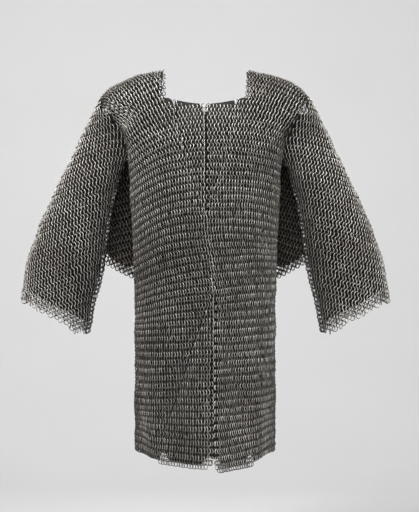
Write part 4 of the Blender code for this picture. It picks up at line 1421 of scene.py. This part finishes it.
class Nodes:
    """Short ways to build one node material."""

    MIX_SOCKETS = {"FLOAT": (2, 3, 0), "RGBA": (6, 7, 2)}
    THREAD_DISTORTION = 0.4

    def __init__(self, name: str) -> None:
        """Starts a material with its Principled shader.

        Args:
            name: name of the material.
        """
        self.material = bpy.data.materials.new(name)
        self.material.use_nodes = True
        self.tree = self.material.node_tree
        self.shader = self.tree.nodes["Principled BSDF"]

    def add(self, kind: str, **settings: object) -> bpy.types.Node:
        """A new node with its settings.

        Args:
            kind: the node's type.
            **settings: its settings by their names.

        Returns:
            The node.
        """
        node = self.tree.nodes.new(kind)
        for name, value in settings.items():
            setattr(node, name, value)
        return node

    def link(self, source: bpy.types.NodeSocket, target: bpy.types.NodeSocket) -> None:
        """Joins two sockets."""
        self.tree.links.new(source, target)

    def _constant(self, kind: str, value: float | Colour) -> bpy.types.NodeSocket:
        """The socket of a new node that gives one value.

        Args:
            kind: the node's type.
            value: the number or the colour.

        Returns:
            The node's output.
        """
        socket = self.add(kind).outputs[0]
        socket.default_value = value
        return socket

    def value(self, number: float) -> bpy.types.NodeSocket:
        """A number's socket."""
        return self._constant("ShaderNodeValue", number)

    def colour(self, rgba: Colour) -> bpy.types.NodeSocket:
        """A colour's socket."""
        return self._constant("ShaderNodeRGB", rgba)

    def _texture(self, node: bpy.types.Node, place: bpy.types.NodeSocket,
                 **sizes: float) -> bpy.types.NodeSocket:
        """A texture's strength at a place, from 0 to 1.

        Args:
            node: the texture's node.
            place: where the texture is looked up.
            **sizes: the node's inputs and their values.

        Returns:
            The socket of the strength.
        """
        for name, value in sizes.items():
            node.inputs[name].default_value = value
        self.link(place, node.inputs["Vector"])
        return node.outputs["Fac"]

    def noise(self, place: bpy.types.NodeSocket, scale: float, detail: float) -> bpy.types.NodeSocket:
        """Soft spots that repeat at a scale, with finer spots in them."""
        return self._texture(self.add("ShaderNodeTexNoise"), place, Scale=scale, Detail=detail)

    def wave(self, place: bpy.types.NodeSocket, scale: float, direction: str) -> bpy.types.NodeSocket:
        """Threads that run one way."""
        node = self.add("ShaderNodeTexWave", bands_direction=direction)
        return self._texture(node, place, Scale=scale, Distortion=self.THREAD_DISTORTION)

    def maths(self, operation: str, first: bpy.types.NodeSocket,
              second: bpy.types.NodeSocket) -> bpy.types.NodeSocket:
        """Two numbers worked into one, which is held from 0 to 1.

        Args:
            operation: the operation, as the maths node names it.
            first: socket of the first number.
            second: socket of the second number.

        Returns:
            The result's socket.
        """
        node = self.add("ShaderNodeMath", operation=operation, use_clamp=True)
        self.link(first, node.inputs[0])
        self.link(second, node.inputs[1])
        return node.outputs[0]

    def ramp(self, source: bpy.types.NodeSocket, low: float, high: float) -> bpy.types.NodeSocket:
        """A number stretched from low and high to 0 and 1.

        Args:
            source: socket of the number.
            low: the number that becomes 0.
            high: the number that becomes 1.

        Returns:
            The stretched number's socket.
        """
        node = self.add("ShaderNodeMapRange", clamp=True)
        node.inputs["From Min"].default_value = low
        node.inputs["From Max"].default_value = high
        self.link(source, node.inputs["Value"])
        return node.outputs["Result"]

    def _mixed(self, kind: str, share: bpy.types.NodeSocket, first: bpy.types.NodeSocket,
               second: bpy.types.NodeSocket) -> bpy.types.NodeSocket:
        """A share of the way from one socket's value to another's.

        Args:
            kind: kind of the values, as the mix node names it.
            share: 0 for the first value, 1 for the second.
            first: socket of the first value.
            second: socket of the second value.

        Returns:
            The socket of the mixed value.
        """
        node = self.add("ShaderNodeMix", data_type=kind)
        low, high, out = self.MIX_SOCKETS[kind]
        self.link(share, node.inputs[0])
        self.link(first, node.inputs[low])
        self.link(second, node.inputs[high])
        return node.outputs[out]

    def mix(self, share: bpy.types.NodeSocket, first: bpy.types.NodeSocket,
            second: bpy.types.NodeSocket) -> bpy.types.NodeSocket:
        """A number between two numbers."""
        return self._mixed("FLOAT", share, first, second)

    def mix_colour(self, share: bpy.types.NodeSocket, first: bpy.types.NodeSocket,
                   second: bpy.types.NodeSocket) -> bpy.types.NodeSocket:
        """A colour between two colours."""
        return self._mixed("RGBA", share, first, second)

    def shade(self, name: str, source: bpy.types.NodeSocket) -> None:
        """Leads a socket to the shader."""
        self.link(source, self.shader.inputs[name])

    def set(self, name: str, number: float) -> None:
        """Sets a number on the shader's own socket."""
        self.shader.inputs[name].default_value = number

    def clear_behind(self) -> None:
        """Lets the view through the sheet's back."""
        side = self.add("ShaderNodeNewGeometry")
        path = self.add("ShaderNodeLightPath")
        share = self.maths("MULTIPLY", side.outputs["Backfacing"], path.outputs["Is Camera Ray"])
        mix = self.add("ShaderNodeMixShader")
        clear = self.add("ShaderNodeBsdfTransparent")
        self.link(share, mix.inputs[0])
        self.link(self.shader.outputs[0], mix.inputs[1])
        self.link(clear.outputs[0], mix.inputs[2])
        self.link(mix.outputs[0], self.tree.nodes["Material Output"].inputs["Surface"])

    def bump(self, height: bpy.types.NodeSocket, strength: float, distance: float) -> None:
        """Adds a bump from a height.

        Args:
            height: socket of the height.
            strength: how strongly the bump shows, from 0 to 1.
            distance: the bump's depth in metres.
        """
        node = self.add("ShaderNodeBump")
        node.inputs["Strength"].default_value = strength
        node.inputs["Distance"].default_value = distance
        self.link(height, node.inputs["Height"])
        self.shade("Normal", node.outputs["Normal"])


@dataclass(frozen=True)
class LiningCut:
    """The flat cut of one lining piece: its width and its length."""

    width: float
    length: float


LINING_CUTS = {
    Cloth.FRONT: LiningCut(0.24, 0.78),
    Cloth.BACK: LiningCut(0.26, 0.78),
    Cloth.SHOULDER: LiningCut(0.19, 0.24),
    Cloth.SLEEVE: LiningCut(0.36, 0.46),
    Cloth.NECK_FLAP: LiningCut(0.075, 0.21),
    Cloth.FRONT_SKIRT: LiningCut(0.085, 0.30),
}


@dataclass(frozen=True)
class LiningSizes:
    """How far the cloth is let out past its solids: the band beside an edge, and the reach there."""

    hem_band: float = 0.070
    hem_fall: float = 0.036
    neck_band: float = 0.052
    neck_rise: float = 0.028
    neck_reach: float = 0.006
    split_band: float = 0.024
    split_reach: float = 0.007
    slit_band: float = 0.014
    slit_share: float = 0.30
    armhole_band: float = 0.008
    armhole_reach: float = 0.010
    seam_band: float = 0.0012
    seam_lap: float = 0.0072
    underarm_thickness: float = 0.0012
    underarm_steps: int = 8
    underarm_shares: tuple[float, float, float] = (0.04, 0.5, 0.96)
    weld_distance: float = 1e-6
    smooth_levels: int = 2


class Lining:
    """Cloth lining, each piece smoothed from its solid."""

    def __init__(self, cloth: bpy.types.Material, drape: Drape, sizes: LiningSizes) -> None:
        """Keeps the cloth's finish, the surface and the sizes.

        Args:
            cloth: finish of the cloth.
            drape: the drape surface.
            sizes: how far the cloth is let out.
        """
        self.cloth = cloth
        self.drape = drape
        self.sizes = sizes

    def piece(self, side: Side, kind: Cloth) -> bpy.types.Object:
        """Makes one sheet of cloth in the place of its solid.

        Args:
            side: the wearer's side.
            kind: which piece of the lining it is.

        Returns:
            The sheet's object.
        """
        node = f"{side.label}_{kind.value}"
        item = self._smoothed(f"{node}_cloth", self._let_out(node, side, kind))
        area = sum(polygon.area for polygon in item.data.polygons) / 2
        cut = LINING_CUTS[kind]
        LOG.info("%s area %.4f of %.4f", item.name, area, cut.width * cut.length)
        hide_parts(node)
        return item

    def _let_out(self, node: str, side: Side, kind: Cloth) -> bmesh.types.BMesh:
        """Copies a solid's mesh and lets it out at its edges.

        Args:
            node: name of the solid.
            side: the wearer's side.
            kind: which piece of the lining it is.

        Returns:
            The mesh, still to be freed.
        """
        mesh = bmesh.new()
        mesh.from_mesh(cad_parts[node].data)
        bmesh.ops.remove_doubles(mesh, verts=mesh.verts, dist=self.sizes.weld_distance)
        bmesh.ops.join_triangles(mesh, faces=mesh.faces, angle_face_threshold=1.0,
                                 angle_shape_threshold=1.0)
        if kind not in (Cloth.SHOULDER, Cloth.SLEEVE):
            self.reach_edges(mesh, side)
        if kind is Cloth.BACK:
            self.close_seam(mesh, side)
        if kind is Cloth.SLEEVE:
            self.lap_armhole(mesh, side)
            # A black sheet inside the web under the arm: lining that also stands in for the shade there.
            self.add_underarm(mesh, side)
        return mesh

    def _smoothed(self, name: str, mesh: bmesh.types.BMesh) -> bpy.types.Object:
        """Makes a smooth cloth object from a mesh, and frees the mesh.

        Args:
            name: name of the object.
            mesh: the sheet's coarse mesh.

        Returns:
            The object, without modifiers.
        """
        data = bpy.data.meshes.new(name)
        mesh.to_mesh(data)
        mesh.free()
        item = bpy.data.objects.new(name, data)
        bpy.context.scene.collection.objects.link(item)
        smooth = item.modifiers.new("smooth", "SUBSURF")
        smooth.levels = self.sizes.smooth_levels
        smooth.render_levels = self.sizes.smooth_levels
        depsgraph = bpy.context.evaluated_depsgraph_get()
        item.data = bpy.data.meshes.new_from_object(item.evaluated_get(depsgraph))
        item.modifiers.clear()
        item.data.materials.clear()
        item.data.materials.append(self.cloth)
        item.data.shade_smooth()
        return item

    def reach_edges(self, mesh: bmesh.types.BMesh, side: Side) -> None:
        """Brings the cloth behind the mail's last rings at the hem, the neck and the split.

        Args:
            mesh: the sheet's coarse mesh.
            side: the wearer's side.
        """
        t, sizes = self.drape.t, self.sizes
        for vert in mesh.verts:
            if vert.co.z < sizes.hem_band - t.shirt_drop:
                vert.co.z -= sizes.hem_fall
            reach = abs(vert.co.x)
            neck = float(self.drape.neckline(np.array(reach)))
            if reach < t.neck_half_width and neck - sizes.neck_band < vert.co.z < neck:
                vert.co.z = min(vert.co.z + sizes.neck_rise, neck + sizes.neck_reach)
            in_front = vert.co.y < 0
            beside = side * (vert.co.x - t.split_offset)
            if in_front and vert.co.z < -t.waist_drop and 0 < beside < sizes.split_band:
                vert.co.x -= side * sizes.split_reach
            if in_front and vert.co.z > -t.slit_drop and reach < sizes.slit_band:
                vert.co.x *= sizes.slit_share

    def close_seam(self, mesh: bmesh.types.BMesh, side: Side) -> None:
        """Laps the two back pieces over each other in the middle.

        Args:
            mesh: the sheet's coarse mesh.
            side: the wearer's side.
        """
        for vert in mesh.verts:
            if abs(vert.co.x) < self.sizes.seam_band:
                vert.co.x -= side * self.sizes.seam_lap

    def lap_armhole(self, mesh: bmesh.types.BMesh, side: Side) -> None:
        """Brings the sleeve's cloth in behind the chest's at the armhole.

        Args:
            mesh: the sheet's coarse mesh.
            side: the wearer's side.
        """
        foot = -self.drape.t.fold_top_drop - self.sizes.seam_lap
        for vert in mesh.verts:
            beyond = abs(vert.co.x) - float(self.drape.seam(np.array(vert.co.z)))
            if vert.co.z > foot and beyond < self.sizes.armhole_band:
                vert.co.x -= side * self.sizes.armhole_reach

    def add_underarm(self, mesh: bmesh.types.BMesh, side: Side) -> None:
        """Adds a black cloth sheet between the two layers of the web under the arm: lining that also stands
        in for the shade in that recess.

        Args:
            mesh: the sheet's coarse mesh.
            side: the wearer's side.
        """
        t, sizes = self.drape.t, self.sizes
        rows = []
        top = -t.fold_top_drop - t.web_half_depth
        for i in range(sizes.underarm_steps + 1):
            row = []
            for share in sizes.underarm_shares:
                foot = t.web_half_depth - t.web_drop + (t.web_drop - t.web_sleeve_drop) * share
                height = top + (foot - top) * i / sizes.underarm_steps
                inner = float(self.drape.trunk_side(np.array(height)))
                outer = float(self.drape.sleeve_inner(np.array(height)))
                row.append(Vector((side * (inner + (outer - inner) * share), 0.0, height)))
            rows.append(row)
        skins = []
        for offset in (-sizes.underarm_thickness / 2, sizes.underarm_thickness / 2):
            lift = Vector((0.0, offset, 0.0))
            skins.append([[mesh.verts.new(point + lift) for point in row] for row in rows])
        for skin in skins:
            for a, b in zip(skin, skin[1:]):
                for k in range(len(a) - 1):
                    mesh.faces.new((a[k], a[k + 1], b[k + 1], b[k]))
        rims = [skin[0] + [row[-1] for row in skin[1:]] + skin[-1][-2::-1]
                + [row[0] for row in skin[-2:0:-1]] for skin in skins]
        for k in range(len(rims[0])):
            mesh.faces.new((rims[0][k - 1], rims[0][k], rims[1][k], rims[1][k - 1]))
        bmesh.ops.recalc_face_normals(mesh, faces=mesh.faces)


@dataclass(frozen=True)
class Band:
    """Where a sleeve's mail bends between the fixed shirt and the moving sleeve."""

    start_reach: float = 0.145
    end_reach: float = 0.235

    def ends(self, side: Side) -> tuple[Vector, Vector]:
        """The points where the bend starts and ends."""
        return (Vector((side * self.start_reach, 0.0, 0.0)),
                Vector((side * self.end_reach, 0.0, 0.0)))


def edge_nodes(prefix: str) -> list[str]:
    """The solids of the loose edge rings whose names begin alike."""
    return sorted(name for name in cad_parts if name.startswith(prefix))


def along_edge(found: Stations, nodes: list[str]) -> np.ndarray:
    """Which rings lie between the first and the last of an edge's loose rings.

    Args:
        found: the rings.
        nodes: names of the loose rings' solids.

    Returns:
        True for each ring between them.
    """
    boxes = [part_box(node) for node in nodes]
    low = min(box[0].x for box in boxes)
    high = max(box[1].x for box in boxes)
    return (found.centres[:, 0] > low) & (found.centres[:, 0] < high)


def nearest_to(found: Stations, nodes: list[str]) -> np.ndarray:
    """Which rings are the nearest to each of some solids.

    Args:
        found: the rings.
        nodes: names of the solids.

    Returns:
        True for one ring beside each solid.
    """
    mask = np.zeros(len(found), bool)
    for node in nodes:
        low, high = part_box(node)
        away = np.linalg.norm(found.centres - np.array((low + high) / 2), axis=1)
        mask[np.argmin(np.where(mask, np.inf, away))] = True
    return mask


class Hauberk:
    """The whole shirt: mail, edge rings and lining."""

    BACK_SKIRT_DROP = 0.550

    def __init__(self) -> None:
        """Makes the sizes, surfaces and finishes."""
        self.trunk_sizes = TrunkSizes()
        self.weave = WeaveSizes()
        self.ring = RingSizes()
        self.drape = Drape(self.trunk_sizes, SleeveSizes())
        self.shape = RingShape(self.ring)
        self.mail = MAIL_WIRE.material()
        self.edge = EDGE_WIRE.material()
        # Near-black iron for the web under the arm: painted shade.
        self.underarm = UNDERARM_SHADED_WIRE.material()
        self.lining = Lining(LINING_CLOTH.material(), self.drape, LiningSizes())
        self.band = Band()
        self.trunk_weave = TrunkWeave(self.drape, self.weave, RowShape())
        self.sleeve_weave = SleeveWeave(self.drape, self.weave)
        self.web_weave = WebWeave(self.drape, self.weave)
        self.ring_count = 0

    def piece(self, name: str, stations: Stations, *nodes: str, slot: Slot = Slot.MAIL,
              finish: bpy.types.Material | None = None) -> MailPiece:
        """A named piece of mail from its rings, in the place of some solids.

        Args:
            name: name of the piece.
            stations: places of its rings.
            *nodes: names of the solids that it stands in for.
            slot: material slot of the record.
            finish: finish of the rings, where the slot doesn't say it.

        Returns:
            The piece, which has no body yet.
        """
        material = finish or (self.edge if slot is Slot.EDGE else self.mail)
        made = MailPiece(name, stations, self.shape, self.weave, material, slot)
        if nodes:
            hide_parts(*nodes)
        self.ring_count += len(stations)
        LOG.info("%s: %d rings", name, len(stations))
        return made

    def fold(self, side: Side, flap: Flap) -> Fold:
        """The fold line of a neck or skirt flap.

        Args:
            side: the wearer's side.
            flap: which flap it is.

        Returns:
            The line on the front.
        """
        t = self.trunk_sizes
        if flap is Flap.NECK:
            heights = np.array((-t.slit_drop, float(self.drape.neckline(np.array(t.neck_flap_width)))))
            places = np.array((0.0, side * t.neck_flap_width))
        else:
            heights = np.array((-t.waist_drop, -t.shirt_drop + t.right_hem_rise))
            places = np.array((t.split_offset, side * t.skirt_flap_width))
        turn = np.arcsin(side * places / self.drape.half_width(heights))
        first, last = (Vector(point) for point in self.drape.trunk(side, Face.FRONT, turn, heights))
        return Fold.through(first, last, Vector((float(places[0]), last.y, last.z)))

    def build_front(self, side: Side) -> Stations:
        """Makes the front of one half with its flaps.

        Args:
            side: the wearer's side.

        Returns:
            The rings at the shoulder, which aren't made yet.
        """
        label = side.label
        t = self.trunk_sizes
        found, loose = self.trunk_weave.stations(side, Face.FRONT)
        z = found.centres[:, 2]
        shoulder = self.at_shoulder(found)
        fixed = ~shoulder & ~loose
        regions = {Flap.NECK: (z > -t.slit_drop) & ~shoulder, Flap.SKIRT: z < -t.waist_drop}
        moving: dict[Flap, np.ndarray] = {}
        for flap, region in regions.items():
            moving[flap], bending = self.build_flap(side, flap, found, region, loose)
            fixed &= ~moving[flap] & ~bending
        nodes = edge_nodes(f"{label}_hem_ring")
        hanging = found.pick(loose & along_edge(found, nodes) & moving[Flap.SKIRT])
        body = f"{label}_{Flap.SKIRT.value}"
        self.piece(f"{label}_hem_rings", hanging, *nodes, slot=Slot.EDGE).ride(body)
        if side is Side.LEFT:
            fixed &= ~self.build_neck_rings(found, fixed)
        chest = fixed & (z > -t.waist_drop)
        for name, part in (("chest", chest), ("side_skirt", fixed & ~chest)):
            self.piece(f"{label}_{name}_mail", found.pick(part), f"{label}_{name}").ride("shirt")
        return found.pick(shoulder)

    def build_flap(self, side: Side, flap: Flap, found: Stations, region: np.ndarray,
                   loose: np.ndarray) -> tuple[np.ndarray, np.ndarray]:
        """Makes a flap's mail and the mail in the band along its fold.

        Args:
            side: the wearer's side.
            flap: which flap it is.
            found: all rings of this half of the front.
            region: which of them lie at the flap's height.
            loose: which of them are the hem's loose row.

        Returns:
            Which rings move with the flap, and which lie in the fold's band.
        """
        fold = self.fold(side, flap)
        body = f"{side.label}_{flap.value}"
        name = f"{side.label}_{flap.node}"
        distance = fold.distance(found.centres)
        margin = fold.half_band + self.ring.diameter / 2
        moving = region & (distance > margin)
        bending = region & ~moving & (distance > -margin)
        self.piece(f"{name}_mail", found.pick(moving & ~loose), name).ride(body)
        made = self.piece(f"{name}_fold_mail", found.pick(bending & ~loose))
        made.bend("shirt", body, fold.start, fold.end)
        return moving, bending

    def build_neck_rings(self, found: Stations, fixed: np.ndarray) -> np.ndarray:
        """Makes the loose rings beside the neck.

        Args:
            found: all rings of this half of the front.
            fixed: which of them move with the shirt.

        Returns:
            Which of the rings were made here.
        """
        nodes = edge_nodes("neck_ring")
        mask = np.zeros(len(found), bool)
        mask[np.flatnonzero(fixed)[nearest_to(found.pick(fixed), nodes)]] = True
        self.piece("neck_rings", found.pick(mask), *nodes, slot=Slot.EDGE).ride("shirt")
        return mask

    def build_back(self, side: Side) -> Stations:
        """Makes the back of one half.

        Args:
            side: the wearer's side.

        Returns:
            The rings at the shoulder, which aren't made yet.
        """
        label = side.label
        found, loose = self.trunk_weave.stations(side, Face.BACK)
        shoulder = self.at_shoulder(found)
        t = self.trunk_sizes
        below = -found.centres[:, 2]
        fixed = ~loose & ~shoulder
        for name, top, foot, node in (("upper_back", -t.neck_rise, t.slit_drop, "back"),
                                      ("lower_back", t.slit_drop, t.web_drop, "back"),
                                      ("back_skirt", t.web_drop, self.BACK_SKIRT_DROP, "back_skirt"),
                                      ("back_hem", self.BACK_SKIRT_DROP, t.shirt_drop * 2, "back_skirt")):
            part = fixed & (below > top) & (below <= foot)
            self.piece(f"{label}_{name}_mail", found.pick(part), f"{label}_{node}").ride("shirt")
        return found.pick(shoulder)

    def at_shoulder(self, found: Stations) -> np.ndarray:
        """Which rings lie where the mail bends as the sleeve is lifted.

        Args:
            found: rings of the trunk.

        Returns:
            True for each such ring.
        """
        reach = self.ring.diameter / 2
        beside = np.abs(found.centres[:, 0]) > self.band.start_reach - reach
        return beside & (found.centres[:, 2] > -self.trunk_sizes.fold_top_drop - reach)

    def build_shoulder(self, side: Side, yoke: Stations) -> None:
        """Makes the mail over the shoulder and under the arm, baked in place.

        Args:
            side: the wearer's side.
            yoke: the rings of front and back at the shoulder.
        """
        label = side.label
        start, end = self.band.ends(side)
        web = Stations.joined([self.web_weave.stations(side, face) for face in Face])
        # The web's rings under the arm get the near-black iron: painted shade for that recess.
        for name, found, node, finish in (
                (f"{label}_shoulder_mail", yoke, f"{label}_shoulder", self.mail),
                (f"{label}_underarm_mail", web, f"{label}_underarm_gusset", self.underarm)):
            self.piece(name, found, node, finish=finish).bend("shirt", f"{label}_sleeve", start, end)

    def build_sleeve(self, side: Side, yoke: Stations) -> None:
        """Makes one sleeve's mail, clear of the shoulder's rings, and its cuff's loose rings.

        Args:
            side: the wearer's side.
            yoke: the rings of front and back at the shoulder.
        """
        label = side.label
        body = f"{label}_sleeve"
        start, end = self.band.ends(side)
        nodes = edge_nodes(f"{label}_cuff_ring")
        known = yoke
        for face in Face:
            found, loose = self.sleeve_weave.stations(side, face)
            clear = found.clear_of(known, self.weave.seam_clearance)
            found, loose = found.pick(clear), loose[clear]
            known = Stations.joined([known, found])
            upper = np.abs(found.centres[:, 0]) < self.band.end_reach + self.ring.diameter / 2
            node = f"{body}_{face.label}"
            made = self.piece(f"{label}_upper_sleeve_{face.label}_mail", found.pick(upper & ~loose), node)
            made.bend("shirt", body, start, end)
            made = self.piece(f"{node}_mail", found.pick(~upper & ~loose), node, f"{label}_cuff")
            made.ride(body)
            if face is Face.FRONT:
                hanging = found.pick(loose & along_edge(found, nodes))
                self.piece(f"{label}_cuff_rings", hanging, *nodes, slot=Slot.EDGE).ride(body)

    def build_lining(self, side: Side) -> None:
        """Makes one half's lining.

        Args:
            side: the wearer's side.
        """
        label = side.label
        start, end = self.band.ends(side)
        for kind in (Cloth.FRONT, Cloth.BACK, Cloth.SHOULDER, Cloth.SLEEVE):
            item = self.lining.piece(side, kind)
            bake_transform(item)
        for flap, kind in ((Flap.NECK, Cloth.NECK_FLAP), (Flap.SKIRT, Cloth.FRONT_SKIRT)):
            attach(self.lining.piece(side, kind), f"{label}_{flap.value}")

    def build(self) -> None:
        """Makes both halves."""
        for side in Side:
            yoke = Stations.joined([self.build_front(side), self.build_back(side)])
            self.build_shoulder(side, yoke)
            self.build_sleeve(side, yoke)
            self.build_lining(side)
        LOG.info("%d rings in all", self.ring_count)


@dataclass(frozen=True)
class Lamp:
    """A square soft lamp: its place, its power in watts and the length of its sides."""

    name: str
    place: tuple[float, float, float]
    power: float
    size: float

    def light(self, aim: Vector) -> None:
        """Puts the lamp into the scene.

        Args:
            aim: the point that it faces.
        """
        data = bpy.data.lights.new(self.name, "AREA")
        data.energy = self.power
        data.size = self.size
        item = bpy.data.objects.new(self.name, data)
        item.location = self.place
        item.rotation_euler = (aim - Vector(self.place)).to_track_quat("-Z", "Y").to_euler()
        bpy.context.scene.collection.objects.link(item)


LAMPS = (
    Lamp("key_light", (-1.3, -1.5, 1.3), power=72.0, size=0.8),
    Lamp("fill_light", (1.5, -1.6, 0.9), power=26.0, size=0.9),
    Lamp("top_light", (0.2, -0.9, 1.6), power=34.0, size=0.9),
)


@dataclass(frozen=True)
class Studio:
    """Pale floor and backdrop, soft light and the camera."""

    centre_x: float = 0.009
    centre_z: float = -0.322
    view_height: float = 1.024
    distance: float = 3.2
    front_depth: float = 0.08
    floor_drop: float = 1.02
    floor_size: float = 14.0
    backdrop_depth: float = 2.4
    curve_radius: float = 0.9
    curve_steps: int = 16
    world_light: float = 0.08
    world_pale: float = 0.62

    def build(self) -> None:
        """Makes floor, backdrop, lights and camera."""
        self._floor()
        for lamp in LAMPS:
            lamp.light(Vector((self.centre_x, 0.0, self.centre_z)))
        self._world()
        self._camera()

    def _floor(self) -> None:
        """One sheet that is floor in front and turns up into the backdrop."""
        half, radius = self.floor_size / 2, self.curve_radius
        profile = [(-half, -self.floor_drop)]
        for i in range(self.curve_steps + 1):
            angle = QUARTER * i / self.curve_steps
            profile.append((self.backdrop_depth - radius * (1 - math.sin(angle)),
                            -self.floor_drop + radius * (1 - math.cos(angle))))
        profile.append((self.backdrop_depth, half))
        verts = [(x, y, z) for y, z in profile for x in (-half, half)]
        faces = [(2 * i, 2 * i + 1, 2 * i + 3, 2 * i + 2) for i in range(len(profile) - 1)]
        mesh = bpy.data.meshes.new("studio_floor")
        mesh.from_pydata(verts, [], faces)
        mesh.shade_smooth()
        mesh.materials.append(StudioFinish("studio_paint").material())
        item = bpy.data.objects.new("studio_floor", mesh)
        bpy.context.scene.collection.objects.link(item)

    def _world(self) -> None:
        """Even surroundings, pale where they are seen or mirrored, that light the shirt a little."""
        world = bpy.data.worlds.new("studio_world")
        world.use_nodes = True
        tree = world.node_tree
        light = tree.nodes["Background"]
        seen = tree.nodes.new("ShaderNodeBackground")
        for node, strength in ((light, self.world_light), (seen, self.world_pale)):
            node.inputs["Color"].default_value = (1.0, 1.0, 1.0, 1.0)
            node.inputs["Strength"].default_value = strength
        path = tree.nodes.new("ShaderNodeLightPath")
        either = path.outputs["Is Camera Ray"]
        for name in ("Is Glossy Ray", "Is Transmission Ray"):
            most = tree.nodes.new("ShaderNodeMath")
            most.operation = "MAXIMUM"
            tree.links.new(either, most.inputs[0])
            tree.links.new(path.outputs[name], most.inputs[1])
            either = most.outputs[0]
        mix = tree.nodes.new("ShaderNodeMixShader")
        tree.links.new(either, mix.inputs[0])
        tree.links.new(light.outputs[0], mix.inputs[1])
        tree.links.new(seen.outputs[0], mix.inputs[2])
        tree.links.new(mix.outputs[0], tree.nodes["World Output"].inputs["Surface"])
        bpy.context.scene.world = world

    def _camera(self) -> None:
        """Level camera straight in front, framed as the photograph."""
        data = bpy.data.cameras.new("photo_camera")
        data.sensor_fit = "AUTO"
        data.lens = data.sensor_width * (self.distance - self.front_depth) / self.view_height
        item = bpy.data.objects.new("photo_camera", data)
        item.location = (self.centre_x, -self.distance, self.centre_z)
        item.rotation_euler = (QUARTER, 0.0, 0.0)
        bpy.context.scene.collection.objects.link(item)
        bpy.context.scene.camera = item
        bpy.context.scene.view_settings.view_transform = "Standard"


def main() -> None:
    """Builds the studio and the shirt."""
    logging.basicConfig(level=logging.INFO, format="%(name)s %(message)s")
    Studio().build()
    Hauberk().build()


if __name__ == "__main__":
    main()
